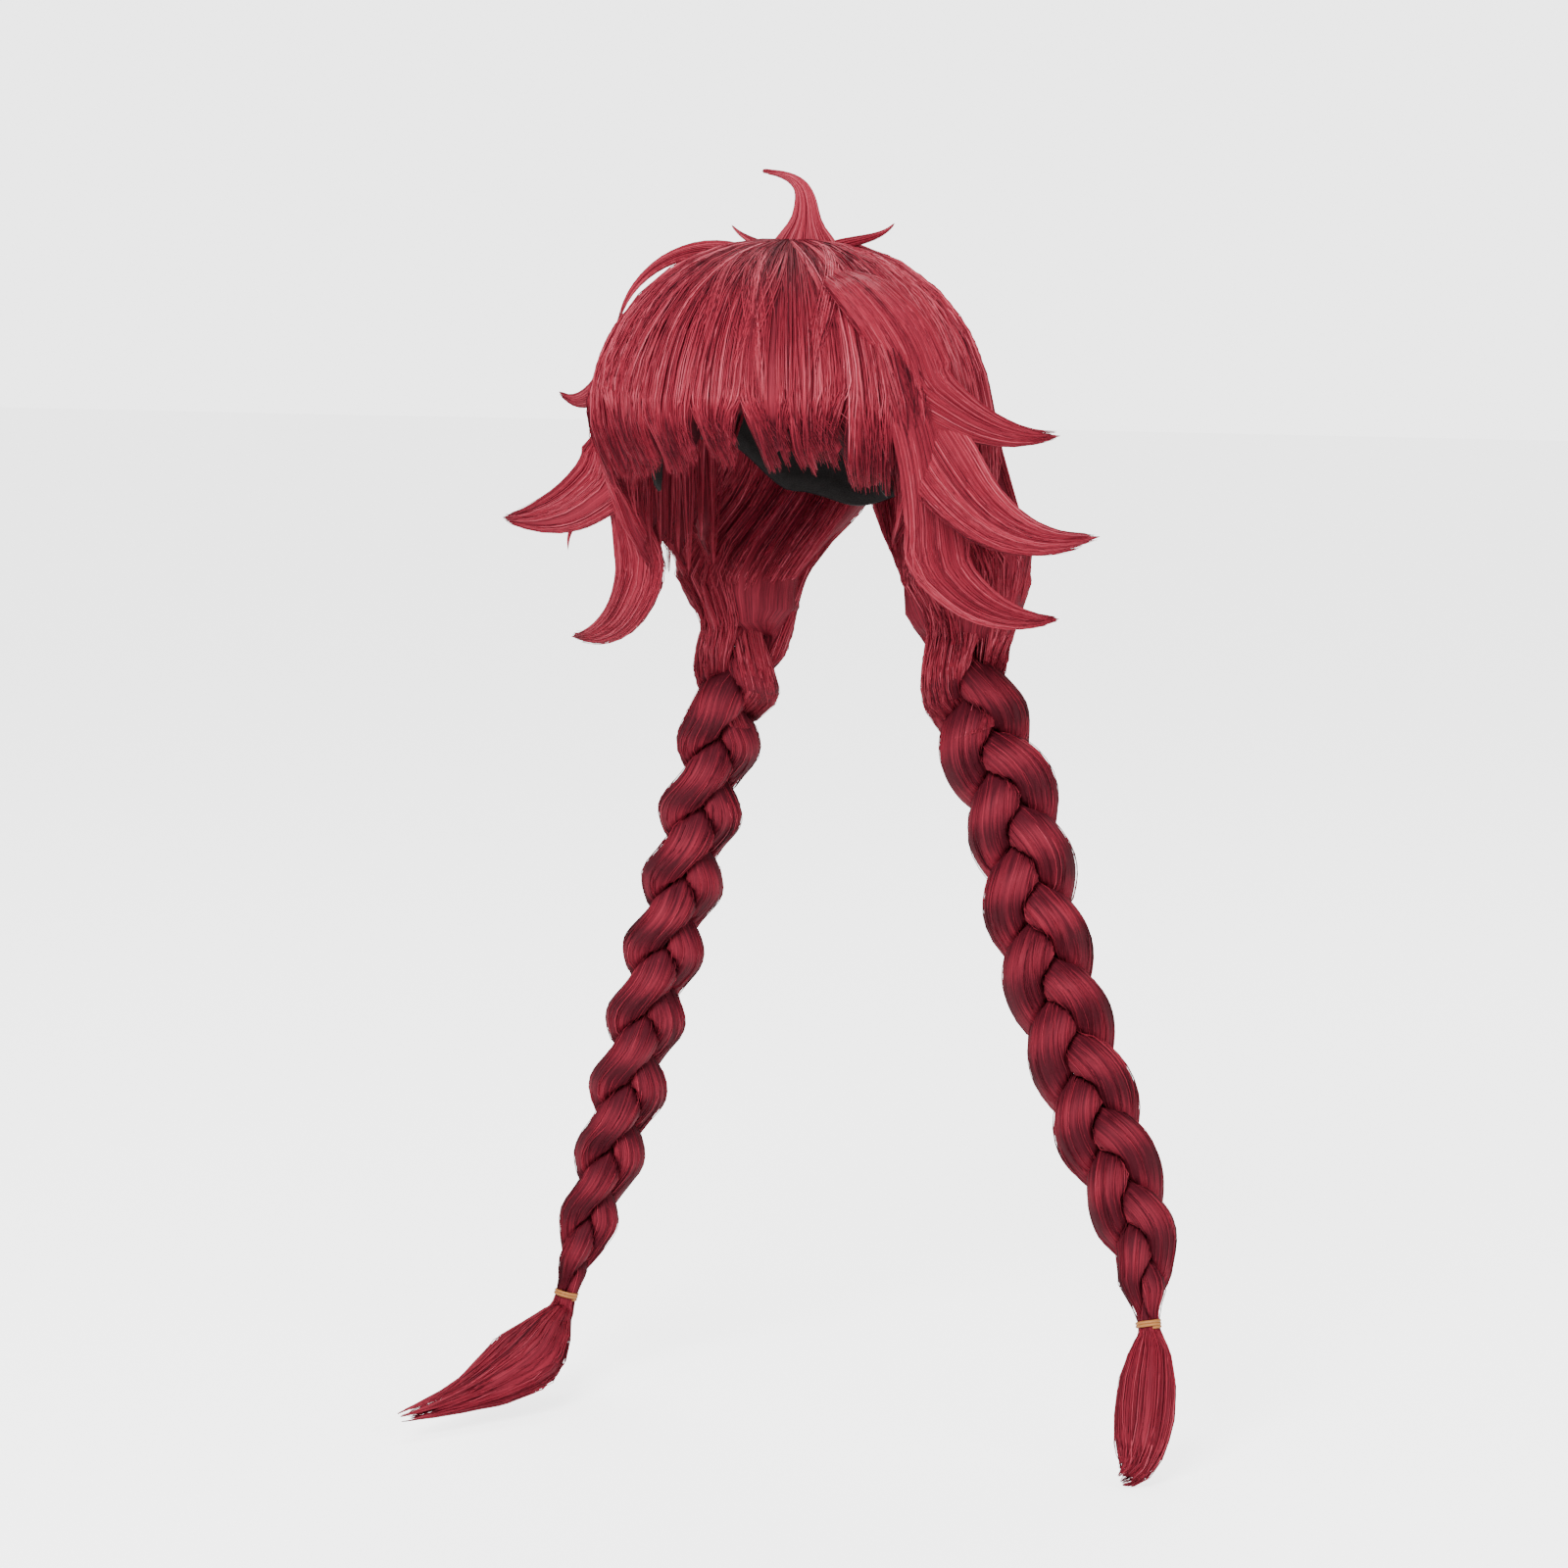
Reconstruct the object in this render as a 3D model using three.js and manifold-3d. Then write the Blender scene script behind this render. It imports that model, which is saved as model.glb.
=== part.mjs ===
// A long red costume wig: a net cap, a blunt fringe, flicked side layers, a parted back and two plaits.
// Millimetres, +Z up. The origin is the middle of the cap's hollow at the hat line, the front is -Y and the
// wearer's left is +X. Azimuths are degrees round from the front, positive to the wearer's left.
import * as THREE from "three";
import { mergeVertices } from "three/addons/utils/BufferGeometryUtils.js";
import Module from "manifold-3d";

const wasm = await Module();
wasm.setup();

// Hollow of the cap: half sizes at the hat line, and its heights above and below that line
const HOLLOW = { halfWidth: 76, halfDepth: 96, above: 92, below: 120 };

// Net cap: wall, number of columns round it and its rim's height by azimuth
const CAP_WALL = 1.5;
const CAP_COLUMNS = 26;
const CAP_TOP_ELEVATION = 87;
const CAP_ROWS = [0, 0.14, 0.3, 0.47, 0.65, 0.83, 1];
const CAP_RIM = [
  { azimuth: 0, height: 36 },
  { azimuth: 45, height: 28 },
  { azimuth: 62, height: -6 },
  { azimuth: 74, height: -38 },
  { azimuth: 90, height: -4 },
  { azimuth: 120, height: -14 },
  { azimuth: 150, height: -42 },
  { azimuth: 180, height: -50 },
];

// Hair over the cap: space to the cap and to neighbours, and thickness at the crown and the hat line
const HAIR_SEAT = CAP_WALL + 1;
const GAP = 0.35;
const HAIR = { crown: 8, front: 21, side: 31, back: 27, swell: 1.5, ridge: 1.2 };
const PANEL_EDGES = { fringe: 70, side: 115, parting: 180, gap: 0.2 };
const DOME_ELEVATIONS = [84, 73, 61, 49, 37, 25, 13];

// Fringe: its locks from the wearer's right to left, with each lock's tip and the notch after it as heights
const FRINGE_LOCKS = [
  { from: -69.8, to: -47, tip: -29, notch: -9 },
  { from: -45, to: -22, tip: -23, notch: -8 },
  { from: -19.5, to: -4, tip: -20, notch: -2 },
  { from: 0.5, to: 10.5, tip: -15, notch: 6 },
  { from: 19.5, to: 28.5, tip: -18, notch: -10 },
  { from: 30, to: 45, tip: -18, notch: -8 },
  { from: 49, to: 69.8, tip: -29, notch: -29 },
];
const FRINGE_CREST = 1;
const FRINGE_CORNER_RISE = 2.5;
const FRINGE_END = [
  { part: 0.3, inside: 3, outside: 23 },
  { part: 0.55, inside: 4.5, outside: 21 },
  { part: 0.8, inside: 7, outside: 16.5 },
  { part: 1, inside: 9, outside: 11.5 },
];

// Side hair below the hat line: heights, the share of the full thickness there, and how uneven the ends are
const SIDE_COLUMNS = 6;
const SIDE_END = [
  { height: 0, share: 1.06, ragged: 0 },
  { height: -22, share: 1.14, ragged: 0 },
  { height: -42, share: 1, ragged: 0.2 },
  { height: -58, share: 0.6, ragged: 0.6 },
  { height: -70, share: 0.14, ragged: 1 },
];
const SIDE_RAGGED = 12;

// Back hair below the hat line: thickness, how far it has gathered, and the bundle's place and half sizes
const BACK_COLUMNS = 8;
const BACK_END = [
  { height: -4, share: 1.06, gathered: 0, x: 72, y: 82, across: 41, deep: 32 },
  { height: -22, share: 1.14, gathered: 0.12, x: 72, y: 82, across: 41, deep: 32 },
  { height: -40, share: 1.16, gathered: 0.36, x: 72, y: 82, across: 41, deep: 32 },
  { height: -58, share: 1.1, gathered: 0.66, x: 72, y: 82, across: 41, deep: 32 },
  { height: -76, share: 1, gathered: 0.9, x: 72, y: 82, across: 41, deep: 32 },
  { height: -94, share: 1, gathered: 1, x: 72, y: 82, across: 40, deep: 31 },
  { height: -112, share: 1, gathered: 1, x: 71, y: 82, across: 37, deep: 28 },
  { height: -126, share: 1, gathered: 1, x: 70, y: 82, across: 32, deep: 24 },
  { height: -134.6, share: 1, gathered: 1, x: 70, y: 82, across: 27, deep: 21 },
];
const PARTING_LAG = 1.5;
const NAPE_SEAT = HAIR_SEAT + 1;
const BUNDLE_CORNER = 10;

// Locks: Bezier points, greatest width and thickness, how late they taper and the azimuth the flat faces
const LOCK_SIDES = 8;
const LOCK_STEPS = 8;
const LOCK_TIP = 0.3;
const LOCK_ROOT = 0.72;
const LOCK_WIDEST = 0.35;
const FLICKS = [
  { name: "upper_flick_left", width: 27, thickness: 12, taper: 3, face: 40,
    root: [72, -40, 53], leave: [97, -42, 18], curl: [126, -12, -12], tip: [155, 20, -5] },
  { name: "upper_flick_right", width: 17, thickness: 10, taper: 3, face: -20,
    root: [-87, -22, 50], leave: [-107, -11, 26], curl: [-133, 8, 1], tip: [-158, 18, 15] },
  { name: "middle_flick_left", width: 36, thickness: 13, taper: 3, face: 35,
    root: [90, -40, 20], leave: [119, -43, -34], curl: [133, -15, -72], tip: [184, 8, -58] },
  { name: "middle_flick_right", width: 37, thickness: 13, taper: 3, face: -20,
    root: [-94, -20, 16], leave: [-92, -23, -44], curl: [-151, -4, -59], tip: [-190, 8, -58] },
  { name: "lower_flick_left", width: 27, thickness: 12, taper: 3, face: 35,
    root: [92, -24, -32], leave: [97, -34, -86], curl: [121, 7, -111], tip: [152, 28, -106] },
  { name: "lower_flick_right", width: 28, thickness: 12, taper: 3, face: -20,
    root: [-94, -12, -36], leave: [-80, -16, -97], curl: [-117, 8, -127], tip: [-154, 28, -127] },
];
const CROWN_LOCKS = [
  { name: "cowlick", width: 22, thickness: 13, taper: 1, face: 10,
    root: [8, 2, 94.5], leave: [8, 2, 125], curl: [17, -2, 138], tip: [-16, -4, 141] },
  { name: "crown_wisp_left", width: 5, thickness: 3, taper: 2, face: 10,
    root: [-13, 1, 97], leave: [-20, 2, 101], curl: [-28, -3, 103], tip: [-35, -4, 111] },
  { name: "crown_wisp_right", width: 6, thickness: 3.5, taper: 2, face: 10,
    root: [24, 4, 98], leave: [37, 4, 104], curl: [52, 4, 102], tip: [62, 4, 112] },
  { name: "arched_lock", width: 6, thickness: 4, taper: 3, face: -10,
    root: [-22, -6, 96], leave: [-54, -11, 104], curl: [-90, -17, 91], tip: [-98, -22, 56] },
];

// Plaits: turns and phase of the strands, the azimuths the flat faces at its top and below, the girth below,
// the middle line and the tail
const STRANDS = 3;
const STRAND_SIDES = 6;
const STRAND_STEPS = 34;
const STRAND_GAP = 2;
const STRAND_ROUNDNESS = 0.5;
const PLAIT_SETTLED_BY = 0.15;
const PLAIT_CLOSING_FROM = 0.86;
const PLAITS = [
  {
    side: "left", sign: 1, turns: 2.9, phase: -0.1, face: 26, faceBelow: 26, girth: 1,
    route: [
      [80, 86, -177], [98, 87, -219], [120, 85, -303],
      [150, 78, -379], [189, 66, -462], [197, 58, -504],
    ],
    tail: { flat: [0.44, -0.9, 0], lead: 18, spread: 1.25, bend: [211, 34, -543], tip: [216, -18, -578] },
  },
  {
    side: "right", sign: -1, turns: 3.1, phase: 0.1, face: 20, faceBelow: 60, girth: 0.87,
    route: [
      [-87, 86, -185], [-114, 88, -276], [-139, 87, -361],
      [-159, 84, -436], [-174, 76, -490], [-183, 68, -528],
    ],
    tail: { flat: [0, 0, 1], lead: 14, spread: 1.8, bend: [-170, 10, -566], tip: [-207, -77, -573] },
  },
];
const PLAIT_WIDTHS = [
  { part: 0, sway: 11.5, depth: 7.5, across: 15, deep: 12 },
  { part: 0.1, sway: 13, depth: 8.5, across: 16.5, deep: 13.5 },
  { part: 0.4, sway: 13, depth: 8.5, across: 16, deep: 13.5 },
  { part: 0.7, sway: 12.5, depth: 8, across: 15, deep: 13 },
  { part: 0.86, sway: 11, depth: 7, across: 12.5, deep: 11 },
  { part: 0.94, sway: 7, depth: 4.5, across: 8.5, deep: 7.5 },
  { part: 1, sway: 2.6, depth: 2.2, across: 4.4, deep: 4.2 },
];

// Tails below the ties: the neck inside the tie, then locks side by side that swell and end unevenly
const NECK = { radius: 6.2, length: 7, fused: 1 };
const TIE = { wall: 1.8, height: 4.4, turns: 2, sides: 14, arcSteps: 2 };
const TAIL_STEPS = 6;
const TAIL_SIDES = 6;
const TAIL_LOCKS = [
  { across: -11, deep: 1, end: 0.9, width: 15 },
  { across: -5, deep: -3.5, end: 1, width: 16 },
  { across: 0, deep: 4, end: 0.95, width: 16 },
  { across: 5.5, deep: -3, end: 0.9, width: 15 },
  { across: 11, deep: 1.5, end: 0.97, width: 14 },
];
const TAIL_SPREAD = { leaving: 0.8, tip: 0.7 };
const TAIL_WIDTH = { root: 0.5, fullBy: 0.5, thinFrom: 0.55, thinBy: 0.9, thin: 0.45, pointFrom: 0.86 };
const TAIL_FLATNESS = 0.8;

const hairMaterial = new THREE.MeshStandardMaterial({ color: 0xa93646, roughness: 0.5, metalness: 0 });
const capMaterial = new THREE.MeshStandardMaterial({ color: 0x17110f, roughness: 0.85, metalness: 0 });
const tieMaterial = new THREE.MeshStandardMaterial({ color: 0xb8772f, roughness: 0.5, metalness: 0 });

const wig = new THREE.Group();
const radians = THREE.MathUtils.degToRad;
const lerp = THREE.MathUtils.lerp;
const smooth = THREE.MathUtils.smoothstep;
const vector = (values) => new THREE.Vector3(...values);
const numbers = (count) => Array.from({ length: count }, (_, k) => k);
const steps = (count) => numbers(count + 1).map((k) => k / count);

// Value of one named column of a table, eased between its rows
function read(table, key, at, column) {
  const after = table.findIndex((row) => row[key] >= at);
  if (after < 0) return table[table.length - 1][column];
  if (after === 0) return table[0][column];
  const [low, high] = [table[after - 1], table[after]];
  return lerp(low[column], high[column], smooth(at, low[key], high[key]));
}

// A closed solid through sections, loops with the same even number of points. Each end is closed by
// strips from the first half of its loop to the second half.
function loft(sections) {
  const count = sections[0].length;
  const last = (sections.length - 1) * count;
  const faces = [];
  for (let s = 0; s < sections.length - 1; s++) {
    for (let k = 0; k < count; k++) {
      const a = s * count + k;
      const b = s * count + (k + 1) % count;
      faces.push([a, b, b + count], [a, b + count, a + count]);
    }
  }
  for (let k = 0; k < count / 2 - 1; k++) {
    const far = count - 1 - k;
    faces.push([k, far, far - 1], [k, far - 1, k + 1]);
    faces.push([last + k, last + far - 1, last + far], [last + k, last + k + 1, last + far - 1]);
  }
  return facingOut(sections.flat(), faces);
}

// A geometry of points and triangles whose faces point out of the solid
function facingOut(points, faces) {
  const cross = new THREE.Vector3();
  const corner = ([a, b, c]) => cross.crossVectors(points[b], points[c]).dot(points[a]);
  const volume = faces.reduce((sum, face) => sum + corner(face), 0);
  const geometry = new THREE.BufferGeometry().setFromPoints(points);
  geometry.setIndex(faces.flatMap(([a, b, c]) => (volume > 0 ? [a, b, c] : [a, c, b])));
  return geometry;
}

function addPiece(name, geometry, material) {
  geometry.computeVertexNormals();
  const mesh = new THREE.Mesh(geometry, material);
  mesh.name = name;
  wig.add(mesh);
  return mesh;
}

function toSolid(geometry) {
  const bare = new THREE.BufferGeometry();
  bare.setAttribute("position", geometry.getAttribute("position"));
  bare.setIndex(geometry.getIndex());
  const merged = mergeVertices(bare);
  return new wasm.Manifold(new wasm.Mesh({
    numProp: 3,
    vertProperties: new Float32Array(merged.getAttribute("position").array),
    triVerts: new Uint32Array(merged.getIndex().array),
  }));
}

function fromSolid(solid) {
  const mesh = solid.getMesh();
  const geometry = new THREE.BufferGeometry();
  geometry.setAttribute("position", new THREE.BufferAttribute(new Float32Array(mesh.vertProperties), 3));
  geometry.setIndex(Array.from(mesh.triVerts));
  return geometry;
}

// The body with the most triangles, without the slivers that a cut leaves loose
function largestBody(geometry) {
  const index = Array.from(geometry.getIndex().array);
  const owner = numbers(geometry.getAttribute("position").count);
  const root = (k) => {
    while (owner[k] !== k) k = owner[k];
    return k;
  };
  for (let k = 0; k < index.length; k += 3) {
    owner[root(index[k + 1])] = root(index[k]);
    owner[root(index[k + 2])] = root(index[k]);
  }
  const bodies = Map.groupBy(numbers(index.length / 3), (face) => root(index[3 * face]));
  const largest = [...bodies.values()].sort((a, b) => b.length - a.length)[0];
  const body = geometry.clone();
  body.setIndex(largest.flatMap((face) => index.slice(3 * face, 3 * face + 3)));
  return mergeVertices(body.toNonIndexed());
}

function mirrored(sections) {
  return sections.map((loop) => loop.map((p) => p.clone().setX(-p.x)));
}

// A point off the hollow, at an azimuth from the front and an elevation from the hat line
function shellPoint(azimuth, elevation, offset) {
  const around = radians(azimuth);
  const up = radians(elevation);
  const height = elevation >= 0 ? HOLLOW.above : HOLLOW.below;
  return vector([
    (HOLLOW.halfWidth + offset) * Math.cos(up) * Math.sin(around),
    -(HOLLOW.halfDepth + offset) * Math.cos(up) * Math.cos(around),
    (height + offset) * Math.sin(up),
  ]);
}

function hangingPoint(azimuth, height, offset) {
  return shellPoint(azimuth, 0, offset).setZ(height);
}

// A point below the hat line, moved straight out where it lies within an offset of the hollow
function clearOfHollow(place, offset) {
  const size = Math.sqrt(1 - (place.z / HOLLOW.below) ** 2) || 0;
  const across = place.x / (HOLLOW.halfWidth * size + offset);
  const along = place.y / (HOLLOW.halfDepth * size + offset);
  const inside = Math.hypot(across, along);
  return inside < 1 ? vector([place.x / inside, place.y / inside, place.z]) : place;
}

function hairThickness(azimuth, elevation) {
  const facing = Math.cos(radians(azimuth));
  const ring = lerp(HAIR.side, facing > 0 ? HAIR.front : HAIR.back, facing * facing);
  return lerp(HAIR.crown, ring, Math.cos(radians(elevation)) ** HAIR.swell);
}

// One section of a wall of hair: its outside along the columns, then its inside back again
function wallLoop(columns, inside, outside) {
  return [...columns.map(outside), ...columns.map(inside).reverse()];
}

// Sections of a wall of hair where it follows the cap, grown outward and inward for a cut
function domeSections(columns, grow) {
  return DOME_ELEVATIONS.map((elevation) => wallLoop(
    columns,
    (c) => shellPoint(c.azimuth, elevation, HAIR_SEAT - grow),
    (c) => shellPoint(c.azimuth, elevation, HAIR_SEAT + hairThickness(c.azimuth, elevation) + c.crest + grow),
  ));
}

// Even columns between two edges with a ridge on every other one, whose ends also hang lower. The outer two
// keep the gap to the next wall, less what they are grown by.
function wallColumns(from, to, count, grow) {
  const spare = PANEL_EDGES.gap - 2 * grow;
  return steps(count - 1).map((part, k) => ({
    azimuth: lerp(from, to, part) + (k === 0 ? spare : 0) - (k === count - 1 ? spare : 0),
    crest: k % 2 ? HAIR.ridge : -HAIR.ridge,
    drop: k % 2 ? SIDE_RAGGED : 0,
  }));
}

function capSections() {
  const ring = (part, offset) => steps(CAP_COLUMNS).slice(0, CAP_COLUMNS).map((turn) => {
    const azimuth = 360 * turn;
    const height = read(CAP_RIM, "azimuth", azimuth > 180 ? 360 - azimuth : azimuth, "height");
    const rim = THREE.MathUtils.radToDeg(Math.asin(height / (height >= 0 ? HOLLOW.above : HOLLOW.below)));
    return shellPoint(azimuth, lerp(rim, CAP_TOP_ELEVATION, part), offset);
  });
  const inside = CAP_ROWS.map((part) => ring(part, 0)).reverse();
  const outside = CAP_ROWS.map((part) => ring(part, CAP_WALL));
  return [...inside, ...outside];
}

// Three columns to each lock of the fringe and one in each notch
function fringeColumns() {
  const columns = [];
  FRINGE_LOCKS.forEach((lock, k) => {
    const next = FRINGE_LOCKS[k + 1];
    const corner = lock.tip + FRINGE_CORNER_RISE;
    columns.push({ azimuth: lock.from, tip: corner, crest: 0 });
    columns.push({ azimuth: (lock.from + lock.to) / 2, tip: lock.tip, crest: FRINGE_CREST });
    columns.push({ azimuth: lock.to, tip: corner, crest: 0 });
    if (next) columns.push({ azimuth: (lock.to + next.from) / 2, tip: lock.notch, crest: -FRINGE_CREST });
  });
  return columns;
}

function fringeSections(grow) {
  const columns = fringeColumns();
  const dome = domeSections(columns, grow);
  const lowest = dome[dome.length - 1];
  const hanging = FRINGE_END.map((row) => wallLoop(
    columns,
    (c) => {
      const top = lowest[lowest.length - 1 - columns.indexOf(c)].z;
      return hangingPoint(c.azimuth, lerp(top, c.tip - grow, row.part), row.inside - grow);
    },
    (c) => {
      const top = lowest[columns.indexOf(c)].z;
      return hangingPoint(c.azimuth, lerp(top, c.tip - grow, row.part), row.outside + c.crest + grow);
    },
  ));
  return [...dome, ...hanging];
}

function sideSections(grow) {
  const columns = wallColumns(PANEL_EDGES.fringe, PANEL_EDGES.side, SIDE_COLUMNS, grow);
  const hanging = SIDE_END.map(({ height, share, ragged }) => wallLoop(
    columns,
    (c) => hangingPoint(c.azimuth, height - ragged * (c.drop + grow), HAIR_SEAT - grow),
    (c) => {
      const thickness = share * (hairThickness(c.azimuth, 0) + c.crest);
      return hangingPoint(c.azimuth, height - ragged * (c.drop + grow), HAIR_SEAT + thickness + grow);
    },
  ));
  return [...domeSections(columns, grow), ...hanging];
}

function backSections(grow) {
  const columns = wallColumns(PANEL_EDGES.side, PANEL_EDGES.parting, BACK_COLUMNS, grow);
  const bundlePoint = (row, c, side) => {
    const along = columns.indexOf(c) / (columns.length - 1);
    const turn = side * radians(lerp(BUNDLE_CORNER, 180 - BUNDLE_CORNER, along));
    const x = row.x + (row.across + grow) * Math.cos(turn);
    return vector([x, row.y + (row.deep + grow) * Math.sin(turn), row.height]);
  };
  const gathered = (row, c) => row.gathered ** (1 + PARTING_LAG * columns.indexOf(c) / (columns.length - 1));
  const hanging = BACK_END.map((row) => wallLoop(
    columns,
    (c) => {
      const curtain = hangingPoint(c.azimuth, row.height, HAIR_SEAT - grow);
      return clearOfHollow(curtain.lerp(bundlePoint(row, c, -1), gathered(row, c)), NAPE_SEAT - grow);
    },
    (c) => {
      const thickness = row.share * (hairThickness(c.azimuth, 0) + c.crest);
      const curtain = hangingPoint(c.azimuth, row.height, HAIR_SEAT + thickness + grow);
      return curtain.lerp(bundlePoint(row, c, 1), gathered(row, c));
    },
  ));
  return [...domeSections(columns, grow), ...hanging];
}

// An ellipse of points round a centre, with the given half sizes along two directions
function ellipseLoop(centre, first, second, sides) {
  return numbers(sides).map((k) => {
    const turn = (2 * Math.PI * (k + 0.5)) / sides;
    return centre.clone().addScaledVector(first, Math.cos(turn)).addScaledVector(second, Math.sin(turn));
  });
}

// Width of a lock along its length, as a share of its greatest width
function lockTaper(row, along) {
  const swelling = row.taper > 1 ? lerp(LOCK_ROOT, 1, smooth(along, 0, LOCK_WIDEST)) : 1;
  return swelling * (1 - along ** row.taper);
}

function lockSections(row, grow = 0) {
  const path = new THREE.CubicBezierCurve3(...[row.root, row.leave, row.curl, row.tip].map(vector));
  const facing = vector([Math.sin(radians(row.face)), -Math.cos(radians(row.face)), 0]);
  return steps(LOCK_STEPS).map((along) => {
    const tangent = path.getTangent(along);
    const across = new THREE.Vector3().crossVectors(tangent, facing).normalize();
    const flat = new THREE.Vector3().crossVectors(across, tangent);
    const size = lockTaper(row, along);
    across.multiplyScalar(LOCK_TIP + grow + (row.width / 2) * size);
    flat.multiplyScalar(LOCK_TIP + grow + (row.thickness / 2) * size);
    return ellipseLoop(path.getPoint(along), across, flat, LOCK_SIDES);
  });
}

// Middle line of a plait from the end of the back hair, with the directions across and out of its flat
function plaitFrame(plait, along) {
  const bundle = BACK_END[BACK_END.length - 1];
  const top = [plait.sign * bundle.x, bundle.y, bundle.height - GAP];
  const route = new THREE.CatmullRomCurve3([top, ...plait.route].map(vector), false, "centripetal");
  const face = radians(lerp(plait.face, plait.faceBelow, smooth(along, 0, PLAIT_SETTLED_BY)));
  const tangent = along === 0 ? vector([0, 0, -1]) : route.getTangentAt(along);
  const across = vector([Math.sin(face), -Math.cos(face), 0]).cross(tangent).normalize();
  const front = new THREE.Vector3().crossVectors(tangent, across);
  return { centre: route.getPointAt(along), tangent, across, front };
}

// Sizes of one section of a plait, by the column of their table
function plaitSizes(plait, along) {
  const thinned = smooth(along, 0, PLAIT_SETTLED_BY) * (1 - smooth(along, PLAIT_CLOSING_FROM, 1));
  return (column) => lerp(1, plait.girth, thinned) * read(PLAIT_WIDTHS, "part", along, column);
}

// Centres of the strands on one section of a plait: each sways across it and crosses over in the middle
function strandCentres(plait, along, size) {
  return numbers(STRANDS).map((strand) => {
    const turn = 2 * Math.PI * (plait.turns * along + (strand + plait.phase) / STRANDS);
    return new THREE.Vector2(size("sway") * Math.sin(turn), size("depth") * Math.sin(2 * turn));
  });
}

// One strand of a plait: on each section an ellipse, cut back half way to the strands beside it
function strandSections(plait, strand, grow = 0) {
  return steps(STRAND_STEPS).map((along) => {
    const size = plaitSizes(plait, along);
    const { centre, across, front } = plaitFrame(plait, along);
    const centres = strandCentres(plait, along, size);
    const own = centres[strand];
    const others = centres.filter((c) => c !== own);
    return numbers(STRAND_SIDES).map((k) => {
      const turn = (2 * Math.PI * (k + 0.5)) / STRAND_SIDES;
      const ray = new THREE.Vector2(Math.cos(turn), Math.sin(turn));
      let reach = 1 / Math.hypot(ray.x / size("across"), ray.y / size("deep"));
      others.forEach((other) => {
        const apart = other.clone().sub(own);
        const toward = ray.dot(apart) / apart.length();
        const half = (apart.length() - STRAND_GAP) / 2;
        if (toward > 0) reach = Math.min(reach, half / toward ** STRAND_ROUNDNESS);
      });
      const place = ray.multiplyScalar(reach + grow).add(own);
      return centre.clone().addScaledVector(across, place.x).addScaledVector(front, place.y);
    });
  });
}

// The strands of a plait, each cut back from the ones before it where their facets still meet
function strandGeometries(plait) {
  return numbers(STRANDS).map((strand) => {
    let solid = toSolid(loft(strandSections(plait, strand)));
    numbers(strand).forEach((earlier) => {
      solid = solid.subtract(toSolid(loft(strandSections(plait, earlier, GAP))));
    });
    return largestBody(fromSolid(solid));
  });
}

// Elastic tie: a ring with a rounded ridge for each turn of the elastic, made round the Y axis
function tieGeometry() {
  const inside = NECK.radius + GAP;
  const ridge = TIE.height / TIE.turns;
  const profile = [new THREE.Vector2(inside, -TIE.height / 2)];
  for (let turn = 0; turn < TIE.turns; turn++) {
    const middle = (turn + 0.5) * ridge - TIE.height / 2;
    steps(TIE.arcSteps).slice(turn === 0 ? 0 : 1).forEach((part) => {
      const angle = Math.PI * (part - 0.5);
      const out = inside + TIE.wall / 2 + (TIE.wall / 2) * Math.cos(angle);
      profile.push(new THREE.Vector2(out, middle + (ridge / 2) * Math.sin(angle)));
    });
  }
  profile.push(new THREE.Vector2(inside, TIE.height / 2), profile[0].clone());
  const lathe = new THREE.LatheGeometry(profile, TIE.sides);
  lathe.deleteAttribute("normal");
  lathe.deleteAttribute("uv");
  const merged = mergeVertices(lathe);
  const position = merged.getAttribute("position");
  const points = numbers(position.count).map((k) => new THREE.Vector3().fromBufferAttribute(position, k));
  const index = Array.from(merged.getIndex().array);
  const faces = numbers(index.length / 3).map((face) => index.slice(3 * face, 3 * face + 3));
  return facingOut(points, faces.filter(([a, b, c]) => a !== b && b !== c && c !== a));
}

// Half width of one lock of a tail along its length: it swells, thins and ends in a point
function tailHalfWidth(row, along) {
  const { root, fullBy, thinFrom, thinBy, thin, pointFrom } = TAIL_WIDTH;
  const swell = lerp(NECK.radius * root, row.width / 2, smooth(along, 0, fullBy));
  return swell * lerp(1, thin, smooth(along, thinFrom, thinBy)) * (1 - smooth(along, pointFrom, 1));
}

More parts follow.
